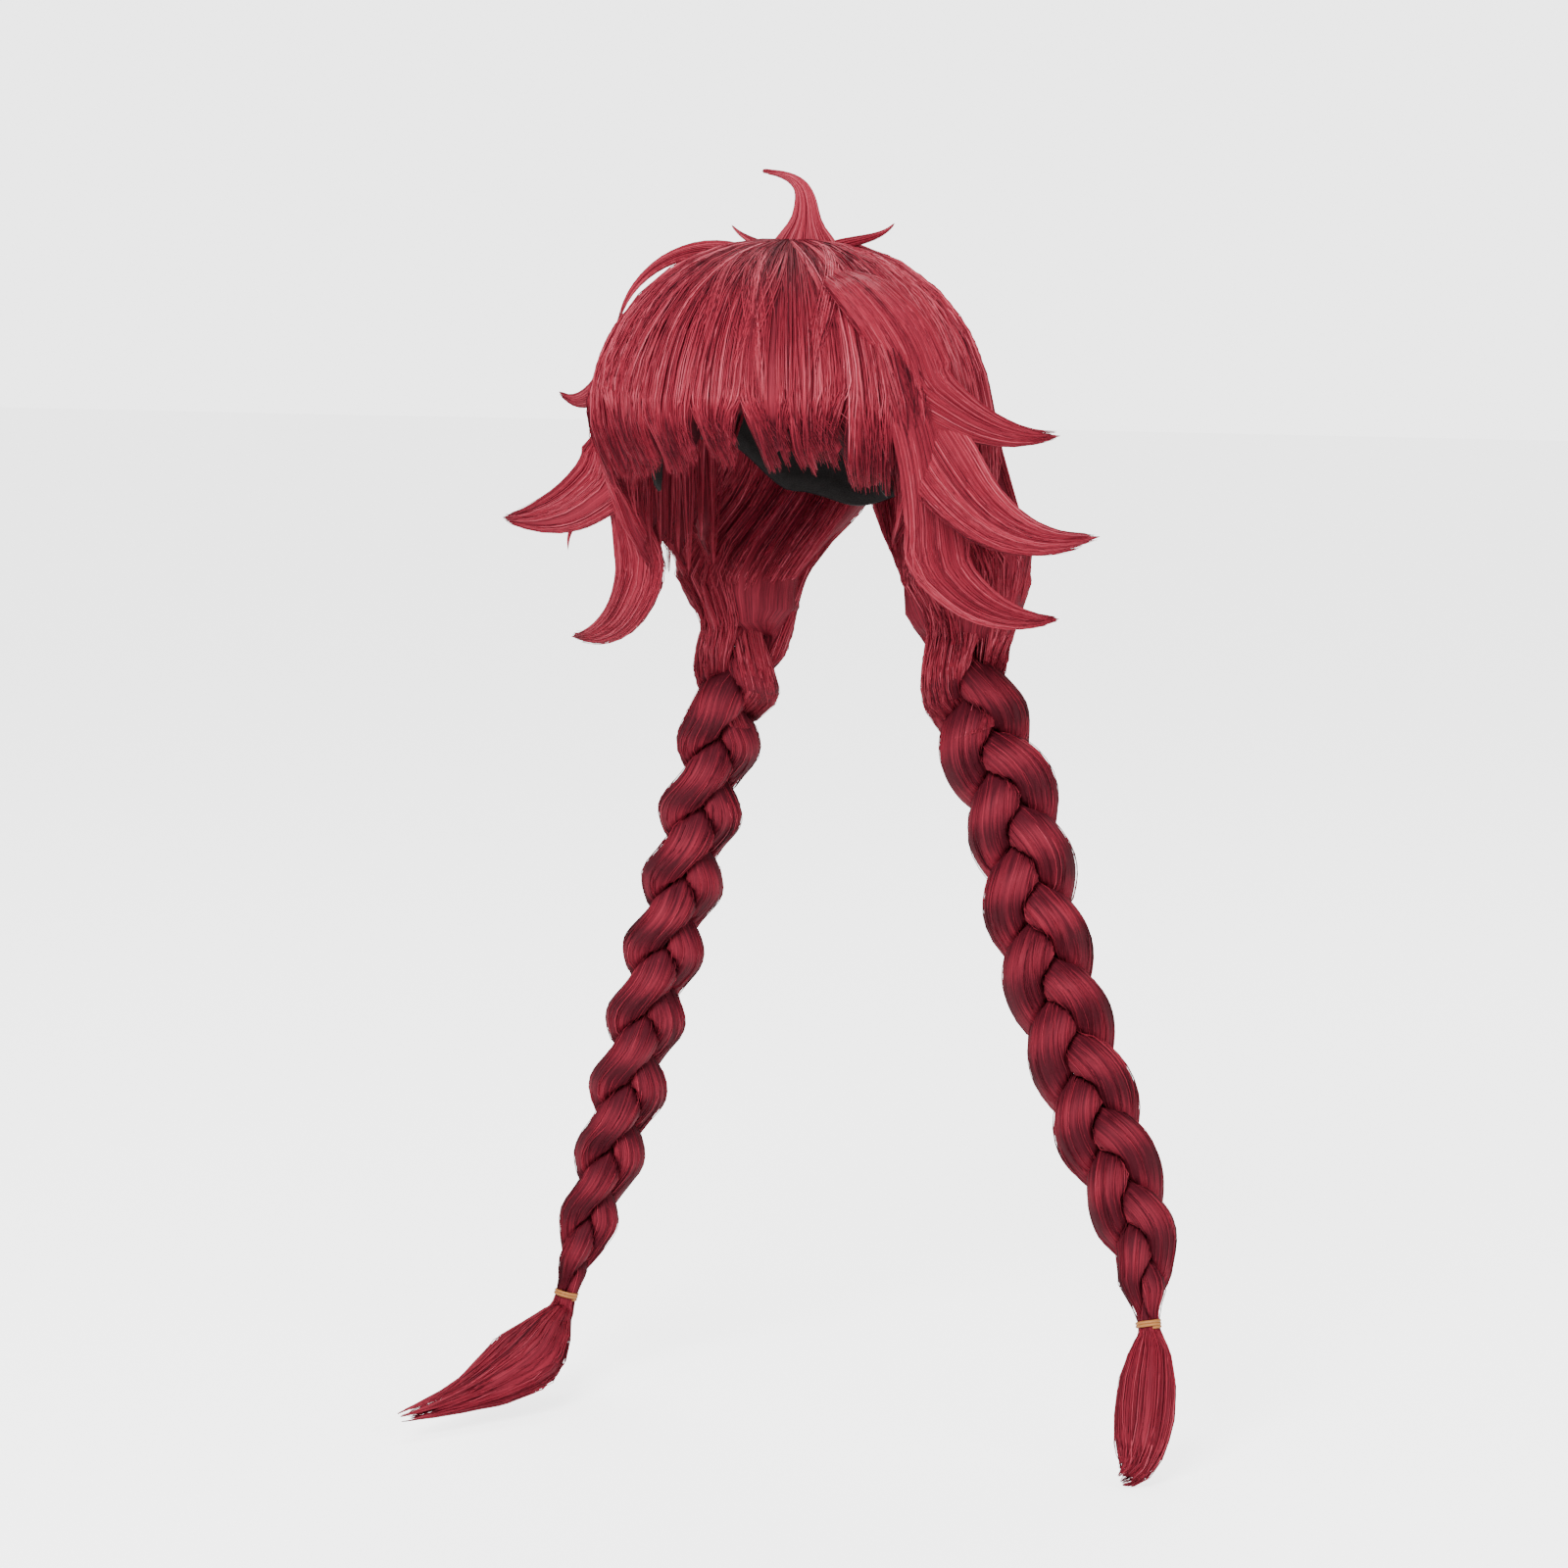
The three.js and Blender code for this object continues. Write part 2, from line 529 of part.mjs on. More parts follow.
// Loose hair below a tie: a neck, then locks fused to it side by side
function tailSolid(plait) {
  const { tail } = plait;
  const { centre, tangent, across, front } = plaitFrame(plait, 1);
  const top = centre.clone().addScaledVector(tangent, GAP);
  const neckEnd = top.clone().addScaledVector(tangent, NECK.length);
  const neck = [top, neckEnd].map((end) => ellipseLoop(
    end, across.clone().multiplyScalar(NECK.radius), front.clone().multiplyScalar(NECK.radius), TIE.sides));
  const flat = vector(tail.flat).normalize();
  const aside = new THREE.Vector3().crossVectors(flat, vector(tail.tip).sub(neckEnd)).normalize();
  let solid = toSolid(loft(neck));
  TAIL_LOCKS.forEach((row) => {
    const offset = aside.clone().multiplyScalar(tail.spread * row.across).addScaledVector(flat, row.deep);
    const start = neckEnd.clone().addScaledVector(tangent, -NECK.fused);
    const leave = neckEnd.clone().addScaledVector(tangent, tail.lead);
    const bend = vector(tail.bend).add(offset);
    const tip = vector(tail.bend).lerp(vector(tail.tip), row.end);
    leave.addScaledVector(offset, TAIL_SPREAD.leaving);
    tip.addScaledVector(offset, TAIL_SPREAD.tip);
    const path = new THREE.CubicBezierCurve3(start, leave, bend, tip);
    const sections = steps(TAIL_STEPS).map((along) => {
      const heading = path.getTangent(along);
      const wide = new THREE.Vector3().crossVectors(flat, heading).normalize();
      const thin = new THREE.Vector3().crossVectors(heading, wide);
      const size = tailHalfWidth(row, along);
      wide.multiplyScalar(LOCK_TIP + size);
      thin.multiplyScalar(LOCK_TIP + size * TAIL_FLATNESS);
      return ellipseLoop(path.getPoint(along), wide, thin, TAIL_SIDES);
    });
    solid = solid.add(toSolid(loft(sections)));
  });
  return solid;
}

addPiece("wig_cap", loft(capSections()), capMaterial);
addPiece("fringe", loft(fringeSections(0)), hairMaterial);
addPiece("side_hair_left", loft(sideSections(0)), hairMaterial);
addPiece("side_hair_right", loft(mirrored(sideSections(0))), hairMaterial);
addPiece("back_hair_left", loft(backSections(0)), hairMaterial);
addPiece("back_hair_right", loft(mirrored(backSections(0))), hairMaterial);

// The walls of hair grown by the gap, which the locks are cut back to
const cutters = [
  fringeSections(GAP),
  sideSections(GAP),
  mirrored(sideSections(GAP)),
  backSections(GAP),
  mirrored(backSections(GAP)),
].map((sections) => toSolid(loft(sections)));

function cutLock(row, earlier) {
  let solid = toSolid(loft(lockSections(row)));
  cutters.forEach((cutter) => {
    solid = solid.subtract(cutter);
  });
  earlier.forEach((other) => {
    solid = solid.subtract(toSolid(loft(lockSections(other, GAP))));
  });
  return fromSolid(solid);
}

[FLICKS, CROWN_LOCKS].forEach((locks) => {
  locks.forEach((row, k) => addPiece(row.name, cutLock(row, locks.slice(0, k)), hairMaterial));
});

PLAITS.forEach((plait) => {
  strandGeometries(plait).forEach((geometry, strand) => {
    addPiece(`plait_${plait.side}_strand_${strand + 1}`, geometry, hairMaterial);
  });
  const { centre, tangent } = plaitFrame(plait, 1);
  const tie = addPiece(`plait_${plait.side}_tie`, tieGeometry(), tieMaterial);
  tie.quaternion.setFromUnitVectors(vector([0, 1, 0]), tangent);
  tie.position.copy(centre).addScaledVector(tangent, GAP + NECK.length / 2);
  addPiece(`plait_${plait.side}_tail`, fromSolid(tailSolid(plait)), hairMaterial);
});

export default wig;
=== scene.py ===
"""Long red costume wig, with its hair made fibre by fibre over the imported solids.

Sizes are in millimetres and angles in degrees, in the part's own frame: +Z up, the front along -Y and
the wearer's left along +X. Meshes are scaled to metres when they are made.
"""

import logging
import math
from dataclasses import dataclass, field
from enum import Enum

import bpy
import numpy as np
from mathutils import Matrix, Vector


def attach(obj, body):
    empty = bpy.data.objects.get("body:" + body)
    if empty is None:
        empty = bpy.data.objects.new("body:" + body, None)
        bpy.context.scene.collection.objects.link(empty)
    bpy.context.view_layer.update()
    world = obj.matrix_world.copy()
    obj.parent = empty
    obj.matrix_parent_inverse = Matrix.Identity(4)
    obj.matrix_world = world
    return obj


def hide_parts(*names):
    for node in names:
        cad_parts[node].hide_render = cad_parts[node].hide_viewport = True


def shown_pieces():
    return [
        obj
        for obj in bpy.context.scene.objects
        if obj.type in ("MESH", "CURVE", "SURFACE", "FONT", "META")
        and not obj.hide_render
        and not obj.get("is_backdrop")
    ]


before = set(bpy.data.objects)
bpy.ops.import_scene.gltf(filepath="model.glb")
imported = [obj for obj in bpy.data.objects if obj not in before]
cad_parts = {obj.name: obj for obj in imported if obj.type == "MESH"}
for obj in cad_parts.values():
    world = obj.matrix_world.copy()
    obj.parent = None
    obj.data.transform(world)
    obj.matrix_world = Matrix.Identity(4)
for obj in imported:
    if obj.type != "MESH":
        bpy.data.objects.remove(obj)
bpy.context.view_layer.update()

Array = np.ndarray
Table = dict[str, tuple[float, ...]]
MM = 0.001
TINY = 1e-9
LOG = logging.getLogger("wig")

# Hollow of the cap at the hat line, and the hair's seat and thickness over it
HALF_WIDTH, HALF_DEPTH, ABOVE, BELOW = 76.0, 96.0, 92.0, 120.0
CAP_WALL = 1.5
HAIR_SEAT = 2.5
NAPE_SEAT = 3.5
CROWN_HAIR, FRONT_HAIR, SIDE_HAIR, BACK_HAIR = 8.0, 21.0, 31.0, 27.0
HAIR_SWELL = 1.5
DOME_ELEVATIONS = np.array([88.0, 82, 74, 64, 53, 42, 31, 21, 12])


class Side(Enum):
    """A side of the wearer, as the sign of its X."""

    LEFT = 1
    RIGHT = -1

    @property
    def word(self) -> str:
        """The side's name in piece names."""
        return self.name.lower()


class Slot(Enum):
    """Material slots of the record."""

    HAIR = "hair"
    CAP = "cap"
    TIE = "tie"


def unit(vectors: Array) -> Array:
    """Vectors scaled to length one."""
    return vectors / np.maximum(np.linalg.norm(vectors, axis=-1, keepdims=True), TINY)


def lerp(low: Array, high: Array, part: Array) -> Array:
    """Straight blend from low to high."""
    return low + (high - low) * part


def smooth(at: Array, low: float, high: float) -> Array:
    """Eased step from 0 at low to 1 at high."""
    part = np.clip((np.asarray(at, float) - low) / (high - low), 0, 1)
    return part * part * (3 - 2 * part)


def round_angles(count: int) -> Array:
    """Angles spaced evenly round a loop, in radians."""
    return 2 * np.pi * (np.arange(count) + 0.5) / count


def walked(line: Array) -> Array:
    """Length walked along a line at each of its points."""
    return np.concatenate([[0], np.cumsum(np.linalg.norm(np.diff(line, axis=0), axis=1))])


def read_line(line: Array, measure: Array, at: Array) -> Array:
    """Points of a line where a measure along it has the values asked for."""
    return np.stack([np.interp(at, measure, line[:, k]) for k in range(3)], axis=-1)


def ease(table: Table, key: str, at: Array, column: str) -> Array:
    """Value of a table's column, eased between its rows.

    Args:
        table: columns of numbers by name.
        key: the column that at is measured on, in rising order.
        at: where to read.
        column: the column to read.

    Returns:
        The eased values, in the shape of at.
    """
    keys, values = np.asarray(table[key]), np.asarray(table[column])
    after = np.clip(np.searchsorted(keys, at), 1, len(keys) - 1)
    part = np.clip((at - keys[after - 1]) / (keys[after] - keys[after - 1]), 0, 1)
    return lerp(values[after - 1], values[after], part * part * (3 - 2 * part))


def shell_point(azimuth: Array, elevation: Array, offset: Array) -> Array:
    """Points off the cap's hollow.

    Args:
        azimuth: degrees round from the front, positive to the wearer's left.
        elevation: degrees up from the hat line.
        offset: millimetres out from the hollow.

    Returns:
        Points with a last axis of three.
    """
    azimuth, elevation, offset = np.broadcast_arrays(azimuth, elevation, offset)
    around, up = np.radians(azimuth), np.radians(elevation)
    height = np.where(up >= 0, ABOVE, BELOW) + offset
    x = (HALF_WIDTH + offset) * np.cos(up) * np.sin(around)
    y = -(HALF_DEPTH + offset) * np.cos(up) * np.cos(around)
    return np.stack([x, y, height * np.sin(up)], axis=-1)


def hanging_point(azimuth: Array, height: Array, offset: Array) -> Array:
    """Points that hang straight down from the hat line.

    Args:
        azimuth: degrees round from the front.
        height: millimetres above the hat line.
        offset: millimetres out from the hollow at the hat line.

    Returns:
        Points with a last axis of three.
    """
    points = shell_point(azimuth, 0.0 * np.asarray(height), offset)
    points[..., 2] = height
    return points


def hair_thickness(azimuth: Array, elevation: Array) -> Array:
    """Thickness of the hair over the cap.

    Args:
        azimuth: degrees round from the front.
        elevation: degrees up from the hat line.

    Returns:
        Millimetres, in the shape of the angles.
    """
    facing = np.cos(np.radians(azimuth))
    ring = lerp(SIDE_HAIR, np.where(facing > 0, FRONT_HAIR, BACK_HAIR), facing * facing)
    return lerp(CROWN_HAIR, ring, np.cos(np.radians(elevation)) ** HAIR_SWELL)


def clear_of_hollow(points: Array, offset: float) -> Array:
    """Points below the hat line, moved straight out where they lie too near the hollow.

    Args:
        points: points with a last axis of three.
        offset: millimetres to keep from the hollow.

    Returns:
        The points, moved where they had to be.
    """
    size = np.sqrt(np.maximum(1 - (points[..., 2] / BELOW) ** 2, 0))
    across = points[..., 0] / (HALF_WIDTH * size + offset)
    along = points[..., 1] / (HALF_DEPTH * size + offset)
    inside = np.clip(np.hypot(across, along), TINY, 1)[..., None]
    return points / np.concatenate([inside, inside, np.ones_like(inside)], axis=-1)


def mirrored(points: Array, side: Side) -> Array:
    """Points of the wearer's left, carried to a side."""
    return points * np.array([side.value, 1, 1])


def smooth_lines(points: Array, at: Array) -> Array:
    """Smooth lines through control points.

    Args:
        points: control points, lines by points by three.
        at: where to sample, from 0 at the first control point to 1 at the last.

    Returns:
        Sampled points, lines by samples by three.
    """
    last = points.shape[1] - 1
    before = 2 * points[:, :1] - points[:, 1:2]
    after = 2 * points[:, -1:] - points[:, -2:-1]
    padded = np.concatenate([before, points, after], axis=1)
    cell = np.minimum((at * last).astype(int), last - 1)
    t = (at * last - cell)[None, :, None]
    p0, p1, p2, p3 = (padded[:, cell + k] for k in range(4))
    square = 2 * p0 - 5 * p1 + 4 * p2 - p3
    cube = 3 * (p1 - p2) + p3 - p0
    return 0.5 * (2 * p1 + (p2 - p0) * t + square * t**2 + cube * t**3)


def between(lines: Array, start: Array, stop: Array, rings: int) -> Array:
    """Lines cut to the stretch between two shares of their length.

    Args:
        lines: lines by points by three.
        start: share of each line where its stretch starts.
        stop: share where it stops.
        rings: number of points to give each stretch.

    Returns:
        The stretches, lines by rings by three.
    """
    count, points = lines.shape[:2]
    at = (points - 1) * lerp(start[:, None], stop[:, None], np.linspace(0, 1, rings)[None, :])
    cell = np.minimum(at.astype(int), points - 2)
    line = np.arange(count)[:, None]
    return lerp(lines[line, cell], lines[line, cell + 1], (at - cell)[..., None])


def bezier(points: Array, at: Array) -> tuple[Array, Array]:
    """A cubic Bezier curve.

    Args:
        points: its four control points.
        at: where to read it, from 0 to 1.

    Returns:
        Points on the curve, and its headings there.
    """
    a, b, c, d = np.asarray(points, float)
    t = np.asarray(at, float)[..., None]
    place = (1 - t) ** 3 * a + 3 * (1 - t) ** 2 * t * b + 3 * (1 - t) * t**2 * c + t**3 * d
    heading = 3 * (1 - t) ** 2 * (b - a) + 6 * (1 - t) * t * (c - b) + 3 * t**2 * (d - c)
    return place, unit(heading)


def facing_vector(azimuth: Array) -> Array:
    """Level directions that face out at azimuths in degrees."""
    turn = np.radians(azimuth)
    return np.stack([np.sin(turn), -np.cos(turn), 0 * turn], axis=-1)


@dataclass
class HairMesh:
    """Closed forms and fibres gathered into one mesh."""

    points: list[Array] = field(default_factory=list)
    faces: list[Array] = field(default_factory=list)
    tones: list[Array] = field(default_factory=list)
    flows: list[Array] = field(default_factory=list)
    count: int = 0

    FIBRE_SIDES = 3
    FLOW_RANGE = 900.0

    def add(self, points: Array, faces: Array, tone: Array, flow: Array) -> None:
        """Keeps one closed mesh.

        Args:
            points: millimetres, points by three.
            faces: corners of each triangle, counted from 0.
            tone: how light the hair is at each point, from 0 to 1.
            flow: place across and along the hair at each point, with a third value that parts the fibres.
        """
        self.points.append(points)
        self.faces.append(faces + self.count)
        self.tones.append(tone)
        self.flows.append(flow)
        self.count += len(points)

    def add_form(self, sections: Array, tone: float | Array) -> None:
        """Adds a closed form through sections.

        Args:
            sections: rows by points round each loop by three. The loops have an even number of points.
            tone: how light its hair is, from 0 to 1, or a value for each row.
        """
        rows, loop = sections.shape[:2]
        index = np.arange(rows * loop).reshape(rows, loop)
        turned = np.roll(index, -1, axis=1)
        a, b, c, d = index[:-1], turned[:-1], turned[1:], index[1:]
        k = np.arange(loop // 2 - 1)
        far = loop - 1 - k
        top, end = index[0], index[-1]
        corners = [(a, b, c), (a, c, d), (top[k], top[far], top[far - 1]), (top[k], top[far - 1], top[k + 1])]
        corners += [(end[k], end[far - 1], end[far]), (end[k], end[k + 1], end[far - 1])]
        faces = np.concatenate([np.stack([x.ravel() for x in three], axis=1) for three in corners])
        points = sections.reshape(-1, 3)
        p, q, r = (points[faces[:, k]] for k in range(3))
        if np.einsum("ij,ij->", p, np.cross(q, r)) < 0:
            faces = faces[:, ::-1]
        across = walked(sections[rows // 2])
        along = np.cumsum(np.linalg.norm(np.diff(sections, axis=0, prepend=sections[:1]), axis=2), axis=0)
        flow = np.stack([np.broadcast_to(across, along.shape), along, np.zeros_like(along)], axis=-1)
        self.add(points, faces, np.repeat(np.broadcast_to(tone, rows), loop), flow.reshape(-1, 3))

    def add_fibres(self, lines: Array, radius: Array, tone: Array, rng: np.random.Generator) -> None:
        """Adds closed three-sided fibres along lines.

        Args:
            lines: fibres by points by three.
            radius: millimetres, fibres by points.
            tone: how light each fibre is, from 0 to 1, fibres by points.
            rng: source of each fibre's turn.
        """
        fibres, rings = lines.shape[:2]
        sides = self.FIBRE_SIDES
        heading = unit(np.gradient(lines, axis=1))
        normal = rng.normal(size=(fibres, 3))
        normals = np.empty_like(lines)
        for k in range(rings):
            normal = unit(normal - np.sum(normal * heading[:, k], axis=1, keepdims=True) * heading[:, k])
            normals[:, k] = normal
        binormals = np.cross(heading, normals)
        turns = 2 * np.pi * np.arange(sides) / sides
        out = np.cos(turns)[:, None] * normals[:, :, None] + np.sin(turns)[:, None] * binormals[:, :, None]
        points = lines[:, :, None] + out * radius[:, :, None, None]
        index = np.arange(fibres * rings * sides).reshape(fibres, rings, sides)
        turned = np.roll(index, -1, axis=2)
        a, b, c, d = index[:, :-1], turned[:, :-1], turned[:, 1:], index[:, 1:]
        walls = [np.stack(three, axis=-1).reshape(-1, 3) for three in ((a, b, c), (a, c, d))]
        faces = np.concatenate([*walls, index[:, 0, ::-1], index[:, -1]])
        along = np.cumsum(np.linalg.norm(np.diff(lines, axis=1, prepend=lines[:, :1]), axis=2), axis=1)
        start = rng.uniform(0, self.FLOW_RANGE, (fibres, 1))
        flow = np.stack([np.broadcast_to(start, along.shape), along, start + 0 * along], axis=-1)
        tones = np.repeat(np.clip(tone, 0, 1).ravel(), sides)
        self.add(points.reshape(-1, 3), faces, tones, np.repeat(flow.reshape(-1, 3), sides, axis=0))

    def to_object(self, name: str, material: bpy.types.Material) -> bpy.types.Object:
        """Makes the Blender object, in metres.

        Args:
            name: the piece's name.
            material: its finish.

        Returns:
            The new object, in the scene.
        """
        points = (np.concatenate(self.points) * MM).astype(np.float32)
        faces = np.concatenate(self.faces).astype(np.int32)
        mesh = bpy.data.meshes.new(name)
        mesh.vertices.add(len(points))
        mesh.vertices.foreach_set("co", points.ravel())
        mesh.loops.add(faces.size)
        mesh.loops.foreach_set("vertex_index", faces.ravel())
        mesh.polygons.add(len(faces))
        mesh.polygons.foreach_set("loop_start", np.arange(0, faces.size, 3, dtype=np.int32))
        mesh.update(calc_edges=True)
        mesh.validate()
        mesh.shade_smooth()
        # The tone attribute carries the hair's own tone with any painted light and shade added to it
        tone = mesh.attributes.new("tone", "FLOAT", "POINT")
        tone.data.foreach_set("value", np.concatenate(self.tones).astype(np.float32))
        flow = mesh.attributes.new("flow", "FLOAT_VECTOR", "POINT")
        flow.data.foreach_set("vector", np.concatenate(self.flows).astype(np.float32).ravel())
        mesh.materials.append(material)
        made = bpy.data.objects.new(name, mesh)
        bpy.context.scene.collection.objects.link(made)
        return made


def seat(piece: bpy.types.Object, slot: Slot, *nodes: str) -> None:
    """Puts a piece on the part's body in place of CAD nodes, and reports it.

    Args:
        piece: the new object.
        slot: the record's slot for its finish; not used.
        nodes: the CAD nodes that it replaces.
    """
    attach(piece, "root")
    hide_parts(*nodes)
    LOG.info("%s: %d faces, for %s", piece.name, len(piece.data.polygons), ", ".join(nodes))


@dataclass(frozen=True)
class FibreSize:
    """Radius of hair fibres and how they taper at both ends."""

    radius: float = 0.29
    uneven: float = 0.06
    least: float = 0.4
    root: float = 0.5
    root_by: float = 0.12
    tip: float = 0.4
    tip_from: float = 0.75

    def along(self, fibres: int, at: Array, rng: np.random.Generator) -> Array:
        """Radius of each fibre along its length.

        Args:
            fibres: how many there are.
            at: share of the length at each point of a fibre.
            rng: source of each fibre's own radius.

        Returns:
            Millimetres, fibres by points.
        """
        grown = lerp(self.root, 1, smooth(at, 0, self.root_by))
        shape = grown * lerp(1, self.tip, smooth(at, self.tip_from, 1))
        own = np.maximum(rng.normal(self.radius, self.uneven, (fibres, 1)), self.least * self.radius)
        return own * shape[None, :]


@dataclass
class HairWall:
    """A wall of hair that follows the cap and then hangs, made of clumps of fibres over closed forms.

    A depth is a share of the wall's thickness, from its inside. Other shares are of the hair's length,
    from its root.
    """

    name: str
    low: float
    high: float
    seed: int
    fibres: int
    clumps: int
    rings: int = 11
    samples: int = 44
    size: FibreSize = FibreSize()
    end: Table = field(default_factory=dict)
    # The forms under the fibres, darker than the fibres: painted shade of the hair beneath them
    columns: int = 60
    fewest_columns: int = 8
    form_rows: int = 34
    form_tone: float = 0.2
    form_short: tuple[float, float] = (3, 9)
    form_thinned: float = 0.9
    thinned_from: float = 0.9
    seam: float = 0.4
    notch: float = 0.06
    parted_over: tuple[float, float] = (0.45, 0.8)
    groove_depths: tuple[float, float] = (0.88, 0.97)
    furrow_depths: tuple[float, float] = (0.02, 0.07)
    # The lie of the fibres
    overlap: float = 2.0
    clump_spread: float = 0.55
    clump_widths: tuple[float, float] = (1.5, 0.62)
    narrowed_from: float = 0.1
    wave_counts: tuple[float, float] = (0.5, 1.6)
    wander: float = 0.45
    drift: float = 1.4
    ragged_fibre: float = 2.4
    ragged_clump: float = 2.2
    longest: float = 6.0
    start_power: float = 2.2
    latest_start: float = 0.42
    # Layers of the fibres
    inner_share: float = 0.06
    inner_depths: tuple[float, float] = (-0.02, 0.03)
    middle_share: float = 0.2
    middle_depths: tuple[float, float] = (0.05, 0.95)
    outer_depths: tuple[float, float] = (0.93, 1.03)
    depth_limits: tuple[float, float] = (-0.03, 1.12)
    upper_share: float = 0.0
    upper_rise: tuple[float, float] = (7, 19)
    upper_lift: float = 0.05
    clump_lift: float = 0.025
    weave: float = 0.012
    weave_turn: float = 5.0
    sunk: float = 0.03
    sunk_by: float = 0.22
    sunk_after: float = 0.04
    # How light the fibres are; the table of tones by share of length is painted shade, darker at the roots
    # and at the tips
    tone: float = 0.46
    clump_tone: float = 0.07
    fibre_tone: float = 0.13
    tones: Table = field(default_factory=lambda: {
        "share": (0, 0.15, 0.4, 0.8, 1),
        "tone": (-0.16, -0.1, 0, 0.03, -0.05),
    })
    # Loose locks on the surface
    strays: Table = field(default_factory=lambda: {
        "low": (), "high": (), "start": (), "stop": (), "width": (), "tone": (),
    })
    stray_fibres: int = 14
    stray_gather: float = 0.35
    stray_depth: float = 1.02
    stray_lift: float = 0.06
    stray_late: float = 0.05
    stray_early: float = 0.06
    stray_tone: float = 0.1

    def control(self, azimuth: Array, depth: Array, fall: Array) -> Array:
        """Control points of lines in the wall.

        Args:
            azimuth: degrees, lines by rows.
            depth: from 0 at the inside to 1 at the outside, lines by rows.
            fall: millimetres that each line's end hangs below the wall's edge.

        Returns:
            Points, lines by rows by three.
        """
        raise NotImplementedError

    @property
    def rows(self) -> int:
        """Number of control rows, those over the cap and those that hang."""
        return len(DOME_ELEVATIONS) + len(next(iter(self.end.values())))

    def dome(self, azimuth: Array, depth: Array) -> Array:
        """Control points of the rows that follow the cap.

        Args:
            azimuth: degrees, lines by rows.
            depth: lines by rows.

        Returns:
            Points, lines by the rows over the cap by three.
        """
        count = len(DOME_ELEVATIONS)
        az, part = azimuth[:, :count], depth[:, :count]
        return shell_point(az, DOME_ELEVATIONS, HAIR_SEAT + part * hair_thickness(az, DOME_ELEVATIONS))

    def spans(self) -> list[tuple[float, float]]:
        """Stretches of azimuth that have a closed form each."""
        return [(self.low, self.high)]

    def add_form(self, mesh: HairMesh, side: Side, rng: np.random.Generator) -> None:
        """Adds the closed forms under the fibres, with grooves along the hair.

        Args:
            mesh: what they are added to.
            side: the side that the wall is on.
            rng: source of the grooves and the uneven ends.
        """
        rows = np.linspace(0, 1, self.rows)[None, :]
        at = np.linspace(0, 1, self.form_rows)
        for low, high in self.spans():
            count = max(self.fewest_columns, round(self.columns * (high - low) / (self.high - self.low)))
            tight = np.linspace(low + self.notch, high - self.notch, count)[:, None]
            loose = np.linspace(low - self.seam, high + self.seam, count)[:, None]
            spread = lerp(loose, tight, smooth(rows, *self.parted_over))
            groove = rng.uniform(*self.groove_depths, (count, 1)) + 0 * rows
            short = -rng.uniform(*self.form_short, count)
            outside = smooth_lines(self.control(spread, groove, short), at)
            furrow = rng.uniform(*self.furrow_depths, (count, 1)) + 0 * rows
            inside = smooth_lines(self.control(spread, furrow, short), at)
            thinned = self.form_thinned * smooth(at, self.thinned_from, 1)
            inside = lerp(inside, outside, thinned[:, None])
            loops = np.concatenate([outside, inside[::-1]]).transpose(1, 0, 2)
            # The forms take the same painted light and shade along the hair's length
            shading = self.shading(at, np.full(1, (low + high) / 2))
            mesh.add_form(mirrored(loops, side), self.form_tone + shading)

    def shading(self, shares: Array, azimuth: Array) -> Array:
        """Painted light and shade added to the hair's tone by its share of length and the azimuth of its
        ends.
        """
        return ease(self.tones, "share", shares, "tone") + 0 * azimuth

    def fibre_lines(self, rng: np.random.Generator) -> tuple[Array, Array, Array]:
        """Lines of the fibres, gathered in clumps that narrow to their ends.

        Args:
            rng: source of every uneven value.

        Returns:
            Control points of the lines on the wearer's left, each one's tone and the azimuth of its end.
        """
        count = self.fibres
        rows = np.linspace(0, 1, self.rows)[None, :]
        step = (self.high - self.low + 2 * self.overlap) / self.clumps
        middles = self.low - self.overlap + step * (np.arange(self.clumps) + rng.random(self.clumps))
        clump = rng.integers(0, self.clumps, count)
        narrowed = lerp(*self.clump_widths, smooth(rows, self.narrowed_from, 1))
        spread = rng.normal(0, self.clump_spread * step, (count, 1)) * narrowed
        waves = rows * rng.uniform(*self.wave_counts, (count, 1)) + rng.random((count, 1))
        wander = rng.normal(0, self.wander, (count, 1)) * np.sin(2 * np.pi * waves)
        drift = rng.normal(0, self.drift, self.clumps)[clump][:, None] * np.sin(np.pi * rows)
        azimuth = middles[clump][:, None] + spread + wander + drift
        pick = rng.random(count)
        layer = rng.uniform(*self.outer_depths, count)
        within = self.inner_share + self.middle_share
        layer = np.where(pick < within, rng.uniform(*self.middle_depths, count), layer)
        layer = np.where(pick < self.inner_share, rng.uniform(*self.inner_depths, count), layer)
        upper = (pick > 1 - self.upper_share) * 1.0
        lift = rng.normal(0, self.clump_lift, self.clumps)[clump] + self.upper_lift * upper
        weave = rng.normal(0, self.weave, (count, 1)) * np.sin(self.weave_turn * rows)
        depth = np.clip((layer + lift)[:, None] + weave, *self.depth_limits)
        fall = rng.normal(0, self.ragged_fibre, count)
        fall = fall + rng.normal(0, self.ragged_clump, self.clumps)[clump]
        fall = np.minimum(fall - upper * rng.uniform(*self.upper_rise, count), self.longest)
        tone = self.tone + rng.normal(0, self.clump_tone, self.clumps)[clump]
        tone = tone + rng.normal(0, self.fibre_tone, count)
        return self.control(azimuth, depth, fall), tone, azimuth[:, -1]

